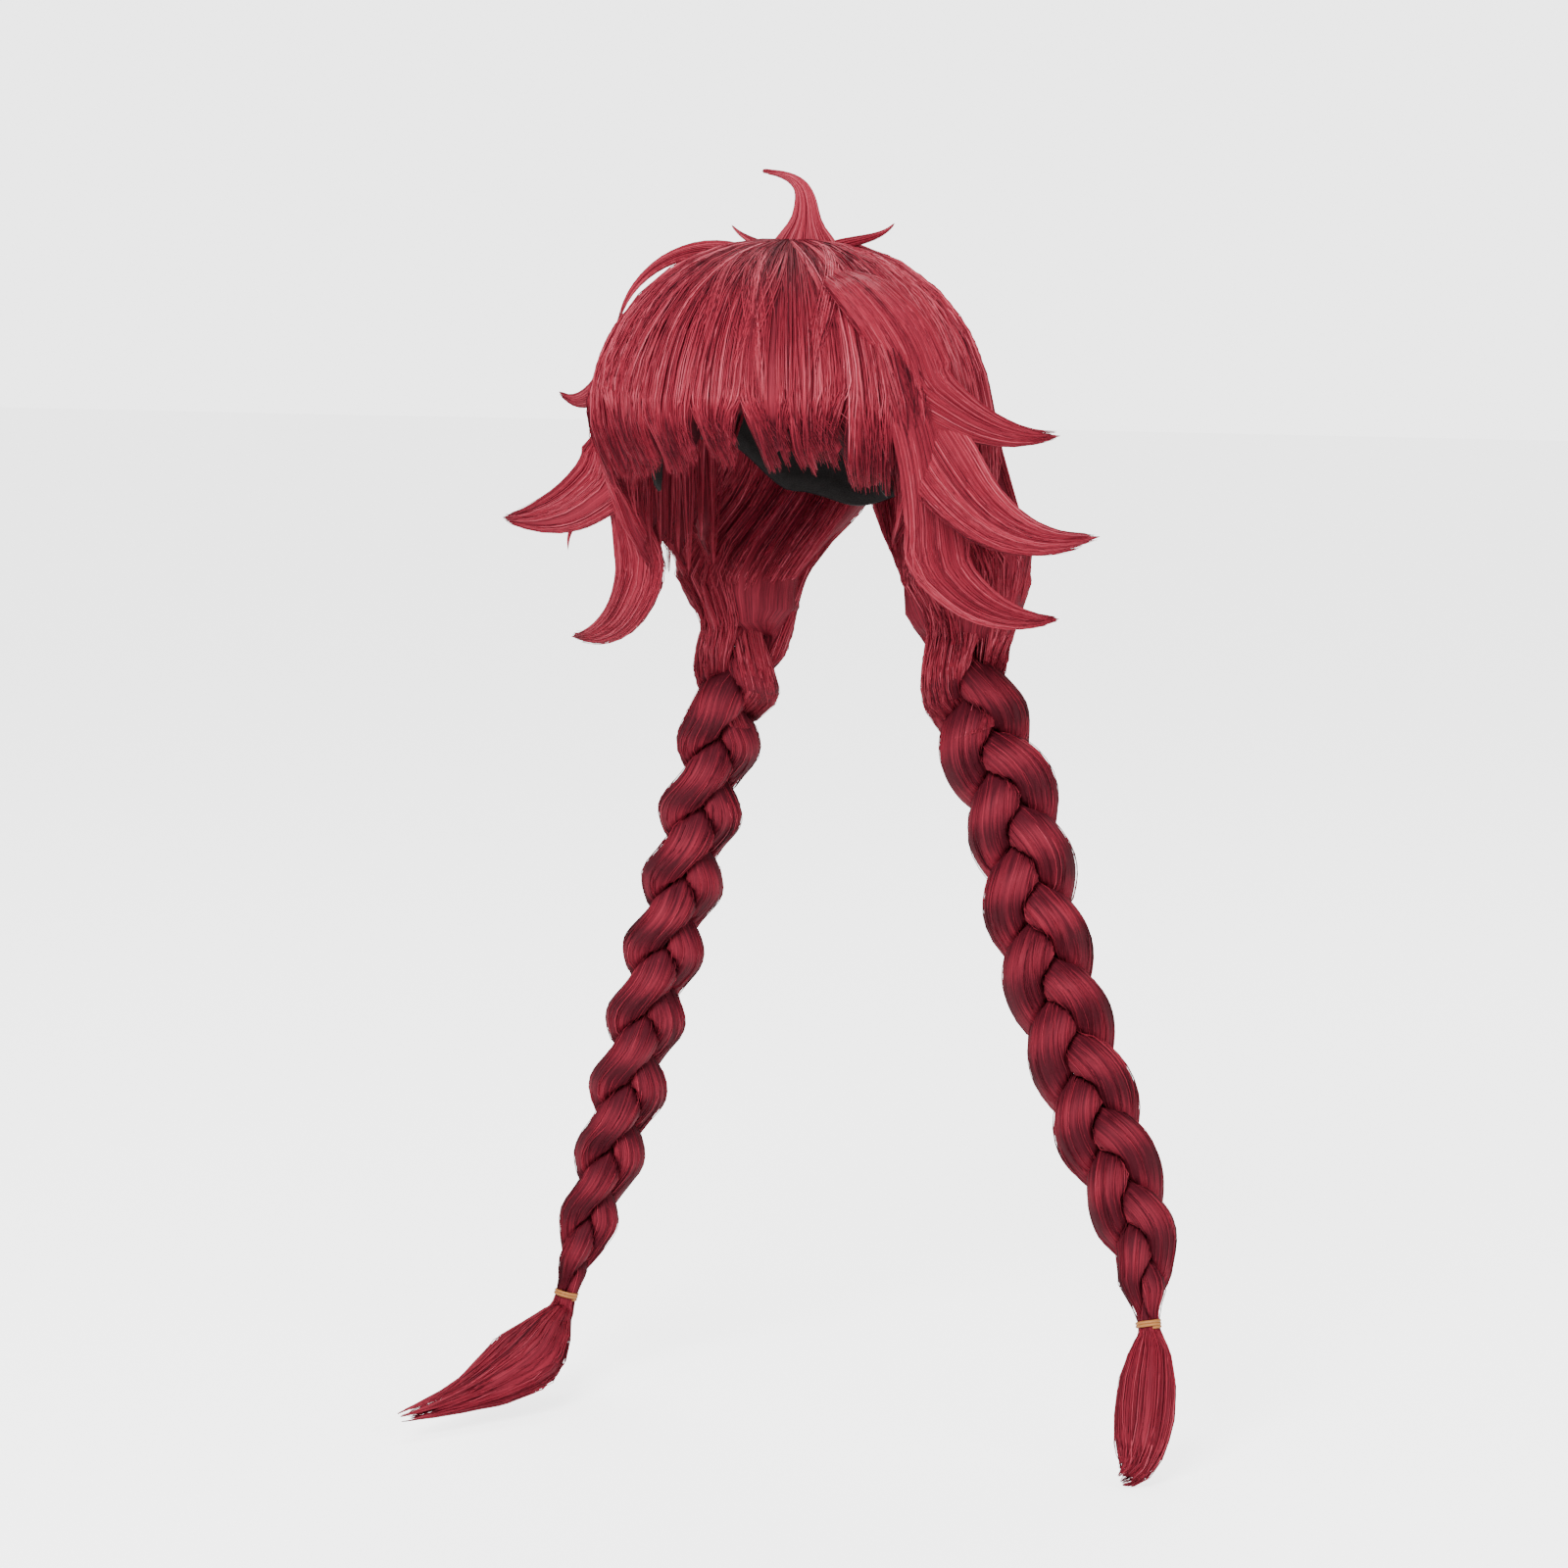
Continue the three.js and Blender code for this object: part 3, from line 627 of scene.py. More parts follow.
    def add_strays(self, mesh: HairMesh, side: Side, rng: np.random.Generator) -> None:
        """Adds the loose locks that lie on the surface, a few fibres each.

        Args:
            mesh: what they are added to.
            side: the side that the wall is on.
            rng: source of every uneven value.
        """
        count = self.stray_fibres
        rows = np.linspace(0, 1, self.rows)[None, :]
        fine = np.linspace(0, 1, self.samples)
        at = np.linspace(0, 1, self.rings)
        for low, high, start, stop, width, tone in zip(*self.strays.values()):
            sweep = (rows - start) / (stop - start)
            bow = np.sin(np.pi * np.clip(sweep, 0, 1))
            loose = rng.normal(0, width, (count, 1)) * lerp(self.stray_gather, 1, bow)
            azimuth = lerp(low, high, smooth(sweep, 0, 1)) + loose
            depth = self.stray_depth + rng.uniform(0, self.stray_lift, (count, 1)) * bow
            lines = smooth_lines(self.control(azimuth, depth, np.zeros(count)), fine)
            first = start + rng.uniform(0, self.stray_late, count)
            last = stop - rng.uniform(0, self.stray_early, count)
            lines = mirrored(between(lines, first, last, self.rings), side)
            tones = tone + rng.normal(0, self.stray_tone, (count, 1)) + 0 * at
            mesh.add_fibres(lines, self.size.along(count, at, rng), tones, rng)

    def build(self, side: Side, material: bpy.types.Material) -> None:
        """Makes the wall's piece on one side.

        Args:
            side: the side of the wearer.
            material: the hair's finish.
        """
        rng = np.random.default_rng(self.seed)
        mesh = HairMesh()
        self.add_form(mesh, side, rng)
        control, tone, ends = self.fibre_lines(rng)
        start = rng.random(self.fibres) ** self.start_power * self.latest_start
        lines = smooth_lines(control, np.linspace(0, 1, self.samples))
        lines = between(lines, start, np.ones(self.fibres), self.rings)
        at = np.linspace(0, 1, self.rings)
        rooted = 1 - smooth(at, 0, self.sunk_by)
        sunk = rooted[None, :, None] * (start > self.sunk_after)[:, None, None]
        lines = mirrored(lines * (1 - self.sunk * sunk), side)
        shares = lerp(start[:, None], 1, at[None, :])
        # Painted light and shade along each fibre's length, added to its own tone
        tones = tone[:, None] + self.shading(shares, ends[:, None])
        mesh.add_fibres(lines, self.size.along(self.fibres, at, rng), tones, rng)
        self.add_strays(mesh, side, rng)
        node = self.node(side)
        seat(mesh.to_object(f"{node}_fibres", material), Slot.HAIR, node)

    def node(self, side: Side) -> str:
        """CAD node that the wall stands for."""
        return f"{self.name}_{side.word}"


@dataclass
class Fringe(HairWall):
    """The front hair, whose lower edge is cut in locks with notches between them."""

    end: Table = field(default_factory=lambda: {
        "part": (0.3, 0.55, 0.8, 1),
        "inside": (3, 4.5, 7, 9),
        "outside": (23, 21, 16.5, 11.5),
    })
    locks: Table = field(default_factory=lambda: {
        "low": (-69.8, -45, -19.5, 0.5, 19.5, 30, 49),
        "high": (-47, -22, -4, 10.5, 28.5, 45, 69.8),
        "tip": (-29, -23, -20, -15, -18, -18, -29),
        "sweep": (0.5, 1.5, 1.5, 2, 2.5, 3.5, 2),
        # The last column shifts each lock's painted shade along its length
        "shade_patch": (0.01, -0.02, 0.02, -0.02, 0.02, -0.01, 0.02),
    })
    # How the hair gathers into the locks, and their lower corners
    notch_half: float = 0.05
    gathered_over: tuple[float, float] = (0.1, 0.9)
    sweep_from: float = 0.7
    corner_rise: float = 3.5
    corner_fill: float = 10.0
    corner_at: tuple[float, float] = (42, 66)
    rounding: float = 0.5
    # Painted shade: darker where each lock turns under, and in the grooves at the fringe's outer edges
    patch_tone: float = -0.2
    patch_shares: tuple[float, float, float, float] = (0.8, 0.84, 0.93, 0.98)
    edge_tone: float = -0.3
    edge_at: tuple[float, float] = (55, 64)
    edge_shares: tuple[float, float] = (0.42, 0.62)

    def notches(self) -> Array:
        """Azimuths of the notches between the locks."""
        return (np.asarray(self.locks["high"])[:-1] + np.asarray(self.locks["low"])[1:]) / 2

    def spans(self) -> list[tuple[float, float]]:
        """One stretch for each lock, from notch to notch."""
        edges = [self.locks["low"][0], *self.notches(), self.locks["high"][-1]]
        return list(zip(edges[:-1], edges[1:]))

    def gathered(self, azimuth: Array) -> Array:
        """Azimuths at the tips, where the hair has gathered into its locks.

        Args:
            azimuth: degrees, before the hair gathers.

        Returns:
            Degrees, in the same shape.
        """
        low, high = self.locks["low"], self.locks["high"]
        beside = self.notches()[:, None] + np.array([-self.notch_half, self.notch_half])
        edges = np.concatenate([low[:1], beside.ravel(), high[-1:]])
        return np.interp(azimuth, edges, np.stack([low, high], axis=1).ravel())

    def lock_at(self, azimuth: Array) -> Array:
        """Number of the lock at gathered azimuths."""
        low = np.asarray(self.locks["low"])
        return np.clip(np.searchsorted(low, azimuth, side="right") - 1, 0, len(low) - 1)

    def in_lock(self, azimuth: Array) -> tuple[Array, Array, Array]:
        """Values at gathered azimuths.

        Args:
            azimuth: degrees.

        Returns:
            Height of the lower edge, how far aside each is in its lock from 0 to 1, and the sweep of its tip.
        """
        low, high = np.asarray(self.locks["low"]), np.asarray(self.locks["high"])
        lock = self.lock_at(azimuth)
        aside = (2 * azimuth - low[lock] - high[lock]) / (high[lock] - low[lock])
        corner = ((lock == 0) & (aside < 0)) | ((lock == len(low) - 1) & (aside > 0))
        aside = np.clip(np.where(corner, 0, np.abs(aside)), 0, 1)
        tip = np.asarray(self.locks["tip"])[lock] + self.corner_rise * aside**2
        return tip, aside, np.asarray(self.locks["sweep"])[lock]

    def shading(self, shares: Array, azimuth: Array) -> Array:
        """Painted shade added to the hair's tone, darker where each lock turns under and in the grooves at
        the outer edges.

        Args:
            shares: shares of the hair's length.
            azimuth: degrees, of the hair's ends.

        Returns:
            What is added to the tone.
        """
        ends = self.gathered(azimuth)
        moved = shares - np.asarray(self.locks["shade_patch"])[self.lock_at(ends)]
        first, full, fading, last = self.patch_shares
        shade_patch = smooth(moved, first, full) * (1 - smooth(moved, fading, last))
        aside = self.in_lock(ends)[1]
        edge = smooth(np.abs(azimuth), *self.edge_at) * smooth(shares, *self.edge_shares)
        # Painted shade where each lock turns under and in the grooves at the outer edges
        dark = self.patch_tone * shade_patch * (1 - aside**2) + self.edge_tone * edge
        return super().shading(shares, azimuth) + dark

    def control(self, azimuth: Array, depth: Array, fall: Array) -> Array:
        """Control points over the cap, then in to the brow.

        Args:
            azimuth: degrees, lines by rows.
            depth: lines by rows.
            fall: millimetres that each line's end hangs below the edge.

        Returns:
            Points, lines by rows by three.
        """
        tip_azimuth = self.gathered(azimuth[:, -1])
        tip, aside, sweep = self.in_lock(tip_azimuth)
        dome = self.dome(azimuth, depth)
        top = dome[:, -1, 2]
        hanging = []
        for k, part in enumerate(self.end["part"]):
            row = len(DOME_ELEVATIONS) + k
            turned = lerp(azimuth[:, row], tip_azimuth, smooth(part, *self.gathered_over))
            turned = turned + sweep * smooth(part, self.sweep_from, 1)
            height = lerp(top, tip - fall, part)
            reached = (top - height) / (top - tip)
            inside = np.interp(reached, self.end["part"], self.end["inside"])
            outside = np.interp(reached, self.end["part"], self.end["outside"])
            outside = outside + self.corner_fill * smooth(np.abs(turned), *self.corner_at)
            rounded = depth[:, row] * (1 - self.rounding * np.clip(reached, 0, 1) ** 2 * aside**4)
            hanging.append(hanging_point(turned, height, lerp(inside, outside, rounded)))
        return np.concatenate([dome, np.stack(hanging, axis=1)], axis=1)

    def node(self, side: Side) -> str:
        """The one fringe node."""
        return self.name


@dataclass
class SideHair(HairWall):
    """The layered hair over an ear, cut in locks that come to a point."""

    end: Table = field(default_factory=lambda: {
        "height": (0, -22, -42, -58, -70),
        "share": (1.06, 1.14, 1, 0.6, 0.14),
        "ragged": (0, 0, 0.2, 0.6, 1),
        "feather": (0, 0.5, 1, 1, 1),
        "gathered": (0, 0.1, 0.32, 0.6, 0.85),
    })
    lock_falls: tuple[float, ...] = (-16, 2, -8, 6, -5, 8, -10, 3)
    ragged: float = 7.0
    feather_width: float = 16.0
    feather_depth: float = 0.3
    feather_thickness: float = 0.12

    def spans(self) -> list[tuple[float, float]]:
        """One stretch for each lock."""
        edges = np.linspace(self.low, self.high, len(self.lock_falls) + 1)
        return list(zip(edges[:-1], edges[1:]))

    def control(self, azimuth: Array, depth: Array, fall: Array) -> Array:
        """Control points over the cap, then down to thin pointed ends.

        Args:
            azimuth: degrees, lines by rows.
            depth: lines by rows.
            fall: millimetres that each line's end hangs below the edge.

        Returns:
            Points, lines by rows by three.
        """
        width = (self.high - self.low) / len(self.lock_falls)
        lock = np.clip((azimuth[:, -1] - self.low) // width, 0, len(self.lock_falls) - 1).astype(int)
        middle = self.low + width * (lock + 0.5)
        lower = self.ragged + fall + np.asarray(self.lock_falls)[lock]
        hanging = []
        for k, height in enumerate(self.end["height"]):
            row = len(DOME_ELEVATIONS) + k
            az = lerp(azimuth[:, row], middle, self.end["gathered"][k])
            thickness = self.end["share"][k] * hair_thickness(az, 0.0 * az)
            thin = self.end["feather"][k] * (1 - smooth(az, self.low, self.low + self.feather_width))
            feather = self.feather_depth + self.feather_thickness * depth[:, row]
            part = lerp(depth[:, row], feather, thin)
            z = height - self.end["ragged"][k] * lower
            hanging.append(hanging_point(az, z, HAIR_SEAT + part * thickness))
        return np.concatenate([self.dome(azimuth, depth), np.stack(hanging, axis=1)], axis=1)


@dataclass(frozen=True)
class Plait:
    """One plait's middle line and its three strands, which sway across its flat and cross over each other.

    A share along the plait is 0 at its top and 1 at its tie. A face is the azimuth that the flat faces.
    """

    side: Side
    turns: float
    phase: float
    face: float
    face_below: float
    girth: float
    route: tuple[tuple[float, float, float], ...]
    strands: int = 3
    settled_by: float = 0.15
    closing_from: float = 0.86
    gap: float = 0.2
    roundness: float = 0.74

    SPAN_POINTS = 120
    LENGTH_POINTS = 60
    WIDTHS = {
        "part": (-0.1, 0, 0.1, 0.4, 0.7, 0.86, 0.94, 1, 1.015),
        "sway": (18, 11.5, 13, 13, 12.5, 11, 7.4, 2.4, 2),
        "depth": (12, 7.5, 8.5, 8.5, 8, 7, 4.8, 2.2, 2),
        "across": (22, 15, 16.5, 16, 15, 12.5, 9, 4.2, 3.8),
        "deep": (18, 12, 13.5, 13.5, 13, 11, 8, 4.2, 3.8),
    }

    def middle_line(self, along: float | Array) -> tuple[Array, Array]:
        """The middle line, carried on straight beyond both its ends.

        Args:
            along: shares along the plait.

        Returns:
            Points and headings.
        """
        points = np.asarray(self.route, float)
        padded = np.concatenate([[2 * points[0] - points[1]], points, [2 * points[-1] - points[-2]]])
        knots = np.sqrt(np.linalg.norm(np.diff(padded, axis=0), axis=1))
        t = np.linspace(0, 1, self.SPAN_POINTS)[:, None]
        pieces = []
        for k in range(len(points) - 1):
            x0, x1, x2, x3 = padded[k : k + 4]
            d0, d1, d2 = knots[k : k + 3]
            leaving = d1 * ((x1 - x0) / d0 - (x2 - x0) / (d0 + d1) + (x2 - x1) / d1)
            arriving = d1 * ((x2 - x1) / d1 - (x3 - x1) / (d1 + d2) + (x3 - x2) / d2)
            square = 3 * (x2 - x1) - 2 * leaving - arriving
            cube = 2 * (x1 - x2) + leaving + arriving
            pieces.append((x1 + leaving * t + square * t**2 + cube * t**3)[:-1])
        line = np.concatenate([*pieces, points[-1:]])
        length = walked(line)
        share = length / length[-1]
        heading = unit(np.gradient(line, length, axis=0))
        heading[0] = (0, 0, -1)
        place = read_line(line, share, along)
        place += (np.minimum(along, 0) * length[-1])[..., None] * heading[0]
        place += (np.maximum(along - 1, 0) * length[-1])[..., None] * heading[-1]
        return place, unit(read_line(heading, share, along))

    @property
    def length(self) -> float:
        """Length along the middle line."""
        return float(walked(self.middle_line(np.linspace(0, 1, self.LENGTH_POINTS))[0])[-1])

    def frame(self, along: float | Array) -> tuple[Array, Array, Array, Array]:
        """The middle line and the plait's flat.

        Args:
            along: shares along the plait.

        Returns:
            Points and headings of the middle line, and directions across and out of the flat.
        """
        place, heading = self.middle_line(along)
        face = lerp(self.face, self.face_below, self.settled(along))
        across = unit(np.cross(facing_vector(face), heading))
        return place, heading, across, np.cross(heading, across)

    def settled(self, along: float | Array) -> Array:
        """How far the plait has left the shape of its top, from 0 to 1."""
        return smooth(along, 0, self.settled_by)

    def size(self, along: float | Array, word: str) -> Array:
        """One column of the widths, thinned between the plait's top and its tie."""
        thinned = self.settled(along) * (1 - smooth(along, self.closing_from, 1))
        return lerp(1, self.girth, thinned) * ease(self.WIDTHS, "part", along, word)

    def turn(self, strand: int | Array, along: float | Array) -> Array:
        """How far strands have gone round in their crossing, in radians."""
        return 2 * np.pi * (self.turns * along + (strand + self.phase) / self.strands)

    def centres(self, along: float | Array) -> Array:
        """Centres of the strands in the plait's section.

        Args:
            along: shares along the plait.

        Returns:
            Millimetres across and out of the flat, strands by the shape of along by two.
        """
        turn = self.turn(np.arange(self.strands).reshape(-1, *[1] * np.ndim(along)), along)
        sway = self.size(along, "sway")
        depth = self.size(along, "depth")
        return np.stack([sway * np.sin(turn), depth * np.sin(2 * turn)], axis=-1)

    def reach(self, strand: int, along: Array, angle: Array) -> Array:
        """How far a strand reaches from its centre, up to the strands beside it.

        Args:
            strand: its number, from 0.
            along: shares along the plait.
            angle: radians in the section.

        Returns:
            Millimetres.
        """
        centres = self.centres(along)
        ray = np.stack([np.cos(angle), np.sin(angle)], axis=-1)
        across = self.size(along, "across")
        deep = self.size(along, "deep")
        reach = 1 / np.hypot(ray[..., 0] / across, ray[..., 1] / deep)
        for other in range(self.strands):
            if other != strand:
                apart = centres[other] - centres[strand]
                far = np.linalg.norm(apart, axis=-1)
                toward = np.maximum(np.sum(ray * apart, axis=-1) / far, TINY)
                reach = np.minimum(reach, (far - self.gap) / 2 / toward**self.roundness)
        return reach

    def outline(self, along: float, angle: Array) -> Array:
        """How far the strands together reach from the middle line.

        Args:
            along: share along the plait.
            angle: radians in the section.

        Returns:
            Millimetres.
        """
        ray = np.stack([np.cos(angle), np.sin(angle)], axis=-1)
        half = np.array([self.size(along, word) for word in ("across", "deep")])
        reach = np.zeros_like(angle)
        for centre in self.centres(along):
            a = np.sum((ray / half) ** 2, axis=-1)
            b = np.sum(ray * centre / half**2, axis=-1)
            c = np.sum((centre / half) ** 2) - 1
            reach = np.maximum(reach, (b + np.sqrt(np.maximum(b * b - a * c, 0))) / a)
        return reach

    def surface(self, strand: int, along: Array, angle: Array, lift: Array) -> Array:
        """Points on a strand.

        Args:
            strand: its number, from 0.
            along: shares along the plait.
            angle: radians round the strand.
            lift: millimetres off its surface.

        Returns:
            Points with a last axis of three.
        """
        place, _, across, front = self.frame(along)
        centre = self.centres(along)[strand]
        reach = self.reach(strand, along, angle) + lift
        x = centre[..., 0] + reach * np.cos(angle)
        y = centre[..., 1] + reach * np.sin(angle)
        return place + x[..., None] * across + y[..., None] * front


@dataclass
class BackHair(HairWall):
    """The back hair of one side, parted in the middle and gathered into the top of its plait."""

    end: Table = field(default_factory=lambda: {
        "height": (-4, -22, -40, -58, -76, -94, -112, -126, -134.6),
        "share": (1.06, 1.14, 1.16, 1.1, 1, 1, 1, 1, 1),
        "gathered": (0, 0.12, 0.36, 0.66, 0.9, 1, 1, 1, 1),
        "x": (72, 72, 72, 72, 72, 72, 71, 70, 70),
        "across": (41, 41, 41, 41, 41, 40, 37, 32, 27),
        "deep": (32, 32, 32, 32, 32, 31, 28, 24, 21),
    })
    plait: Plait | None = None
    bundle_y: float = 82.0
    corner: float = 10.0
    parting_lag: float = 1.5
    tuck: float = 0.1
    lobed: Table = field(default_factory=lambda: {
        "height": (-135, -126, -112, -94, -76),
        "share": (1, 0.9, 0.65, 0.3, 0),
    })
    # How the fibres run on along the strands of the plait
    plait_shares: tuple[float, ...] = (-0.055, -0.022, 0.005, 0.035, 0.07, 0.11)
    joined: tuple[float, ...] = (0.5, 0.85)
    nearest_at: float = 0.7
    angle_at: float = 0.9
    plait_lifts: tuple[float, float] = (-0.2, 1.2)

    def control(self, azimuth: Array, depth: Array, fall: Array) -> Array:
        """Control points over the cap, then in to the bundle above the plait.

        Args:
            azimuth: degrees, lines by rows.
            depth: lines by rows.
            fall: not used, since the plait ends the hair.

        Returns:
            Points, lines by rows by three.
        """
        hanging = []
        for k, height in enumerate(self.end["height"]):
            row = len(DOME_ELEVATIONS) + k
            az = np.clip(azimuth[:, row], self.low - self.overlap, self.high)
            share = np.clip((az - self.low) / (self.high - self.low), 0, 1)
            thickness = self.end["share"][k] * hair_thickness(az, 0.0 * az)
            gathered = self.end["gathered"][k] ** (1 + self.parting_lag * share)
            turn = np.radians(lerp(self.corner, 180 - self.corner, share))
            z = np.full_like(az, height)
            near = self.bundle_point(k, -turn, z)
            far = self.bundle_point(k, turn, z)
            part = gathered[:, None]
            inner = clear_of_hollow(lerp(hanging_point(az, z, HAIR_SEAT), near, part), NAPE_SEAT)
            outer = lerp(hanging_point(az, z, HAIR_SEAT + thickness), far, part)
            hanging.append(lerp(inner, outer, depth[:, row, None]))
        return np.concatenate([self.dome(azimuth, depth), np.stack(hanging, axis=1)], axis=1)

    def bundle_point(self, row: int, turn: Array, z: Array) -> Array:
        """Points round the bundle, which divides into the strands of the plait towards its end.

        Args:
            row: number of the hanging row.
            turn: radians round the bundle.
            z: millimetres, the height of the row.

        Returns:
            Points on the wearer's left, with a last axis of three.
        """
        x = self.end["across"][row] * np.cos(turn)
        y = self.end["deep"][row] * np.sin(turn)
        lobed = ease(self.lobed, "height", z, "share")
        if lobed.max() > 0:
            side = self.plait.side
            top, _, across, front = self.plait.frame(0.0)
            along = (top[2] - z[0]) / self.plait.length
            level = mirrored(np.stack([x, y, 0 * x], axis=-1), side)
            angle = np.arctan2(level @ front, level @ across)
            reach = self.plait.outline(along, angle)[:, None] * (1 - self.tuck * lobed[:, None] ** 4)
            strands = reach * (np.cos(angle)[:, None] * across + np.sin(angle)[:, None] * front)
            strands = mirrored(strands, side)
            x, y = lerp(x, strands[:, 0], lobed), lerp(y, strands[:, 1], lobed)
        return np.stack([self.end["x"][row] + x, self.bundle_y + y, z], axis=-1)

    def fibre_lines(self, rng: np.random.Generator) -> tuple[Array, Array, Array]:
        """Lines of the fibres, carried on to the strands of the plait.

        Args:
            rng: source of every uneven value.

        Returns:
            Control points of the lines on the wearer's left, each one's tone and the azimuth of its end.
        """
        control, tone, azimuth = super().fibre_lines(rng)
        own = mirrored(control, self.plait.side)
        leaving = len(self.joined) + 1
        place, _, across, front = self.plait.frame(0.0)
        x, y = (own[:, -leaving] - place) @ across, (own[:, -leaving] - place) @ front
        centres = self.plait.centres(0.0)
        aside = self.nearest_at * x[:, None] - centres[:, 0]
        outward = self.nearest_at * y[:, None] - centres[:, 1]
        strand = np.argmin(np.hypot(aside, outward), axis=1)
        angle = np.arctan2(self.angle_at * y - centres[strand, 1], self.angle_at * x - centres[strand, 0])
        along = np.asarray(self.plait_shares) * np.ones((len(own), 1))
        angles = angle[:, None] + 0 * along
        lift = rng.uniform(*self.plait_lifts, (len(own), 1))
        ends = np.empty((*along.shape, 3))
        for k in range(self.plait.strands):
            mine = strand == k
            ends[mine] = self.plait.surface(k, along[mine], angles[mine], lift[mine])
        joined = np.asarray(self.joined)[:, None]
        ends[:, : leaving - 1] = lerp(own[:, -leaving:-1], ends[:, : leaving - 1], joined)
        lines = np.concatenate([own[:, :-leaving], ends], axis=1)
        return mirrored(lines, self.plait.side), tone, azimuth


@dataclass(frozen=True)
class Lock:
    """A lock of hair on a Bezier curve, wide across its flat and tapering to a point.

    A lock with a start runs over the cap first, from that azimuth and elevation. A place is a share along the
    curve, and is below 0 over the cap.
    """

    name: str
    width: float
    thickness: float
    taper: float
    face: float
    root: tuple[float, float, float]
    leave: tuple[float, float, float]
    curl: tuple[float, float, float]
    tip: tuple[float, float, float]
    seed: int
    fibres: int
    start: tuple[float, float] | None = None
    strips: int = 16
    outer_share: float = 0.7
    rings: int = 16
    samples: int = 48
    tone: float = 0.44
    wisp: float = 0.0
    # Width along the curve
    flare: float = 0.0
    root_share: float = 0.72
    widest: float = 0.35
    pointed: float = 0.3
    # The stretch over the cap
    over_points: int = 6
    join: int = 2
    spread: float = 1.0
    lift: float = 1.0
    turn_from: float = 0.35

    CURVE_PLACES = (0.0, 0.15, 0.3, 0.45, 0.6, 0.75, 0.88, 1.0)
    FLARED_OVER = (0.02, 0.38)
    OVER_CAP = {
        "place": (-0.6, -0.25, 0.15, 0.45),
        "width": (0.9, 1.8, 1.55, 1),
        "thickness": (0.2, 0.35, 0.6, 1),
    }
    JOIN_GAP = 0.15
    CAP_BEND = 100.0
    UNBENT_OVER = (0.1, 0.45)
    PATH_POINTS = 60
    BURIED = -4.0
    LIFTED_BY = 0.4
    JOINED_FROM = 0.45
    OUTWARD = 10.0

    CORE_SIDES = 18
    CORE_LEAST = 0.15
    CORE_WIDE, CORE_THICK = 0.93, 0.85
    # The core is darker than the fibres: painted shade of the hair beneath them
    CORE_TONE = 0.34

    SIZE = FibreSize(radius=0.28)
    STRIP_DEPTHS = (0.6, 1.0)
    LOOSE = 0.16
    PROUD = 0.3
    STRIP_SPLIT, FIBRE_SPLIT = 0.02, 0.014
    SPLIT_THROUGH = 0.5
    START_POWER = 1.5
    LATEST_START = 0.45
    STRIP_STOPS, FIBRE_STOPS = (0.94, 1.0), (0.97, 1.0)
    STRIP_TONE, FIBRE_TONE = 0.06, 0.12
    # Painted shade at the roots of locks that start over the cap
    ROOT_TONE = -0.16
    ROOT_TONE_BY = 0.4

    WISP_LENGTH = 11.0
    WISP_WIDTH = 2.0
    WISP_FIBRES = 26
    WISP_LEAD = 3
    WISP_ROOT, WISP_EDGE, WISP_DROP = 0.6, 0.95, 0.3
    WISP_TAPER = 0.7

    def width_share(self, along: Array) -> Array:
        """Width along the curve as a share of the greatest.

        Args:
            along: places on the curve.

        Returns:
            Shares, in the same shape.
        """
        swelling = lerp(self.root_share, 1, smooth(along, 0, self.widest)) if self.taper > 1 else 1.0
        pointed = 1 - self.pointed * np.clip(along, 0, 1) ** 2
        return swelling * pointed * (1 - np.clip(along, 0, 1) ** self.taper)

    def half_sizes(self, place: Array) -> tuple[Array, Array]:
        """Half the lock's width and half its thickness.

        Args:
            place: places on the curve.

        Returns:
            Millimetres, two arrays in the shape of place.
        """
        share = self.width_share(np.maximum(place, 0))
        flared = 1 + self.flare * (1 - smooth(place, *self.FLARED_OVER)) ** 2
        wide, thick = self.width / 2 * share * flared, self.thickness / 2 * share * flared
        if self.start is None:
            return wide, thick
        widened = 1 + self.spread * (ease(self.OVER_CAP, "place", place, "width") - 1)
        return wide * widened, thick * ease(self.OVER_CAP, "place", place, "thickness")

    def sag(self, aside: Array, place: Array) -> Array:
        """How far points drop to stay on the cap's curve.

        Args:
            aside: millimetres from the lock's middle.
            place: places on the curve.

        Returns:
            Millimetres.
        """
        if self.start is None:
            return 0 * aside
        return aside**2 / (2 * self.CAP_BEND) * (1 - smooth(place, *self.UNBENT_OVER))

    def guide(self) -> tuple[Array, Array, Array]:
        """Control points of the lock's middle line.

        Returns:
            Points by three, the way the flat faces at each, and places on the curve.
        """
        places = np.array(self.CURVE_PLACES)
        curve, _ = bezier([self.root, self.leave, self.curl, self.tip], places)
        facings = np.broadcast_to(facing_vector(self.face), curve.shape)
        if self.start is None:
            return curve, facings, places
        curve, facings, places = (column[self.join :] for column in (curve, facings, places))
        steps = np.linspace(0, 1, self.over_points, endpoint=False)
        points, faced = self.over_cap(curve[0], steps)
        before = lerp(self.OVER_CAP["place"][0], places[0] - self.JOIN_GAP, steps)
        columns = ((points, curve), (faced, facings), (before, places))
        return tuple(np.concatenate(column) for column in columns)

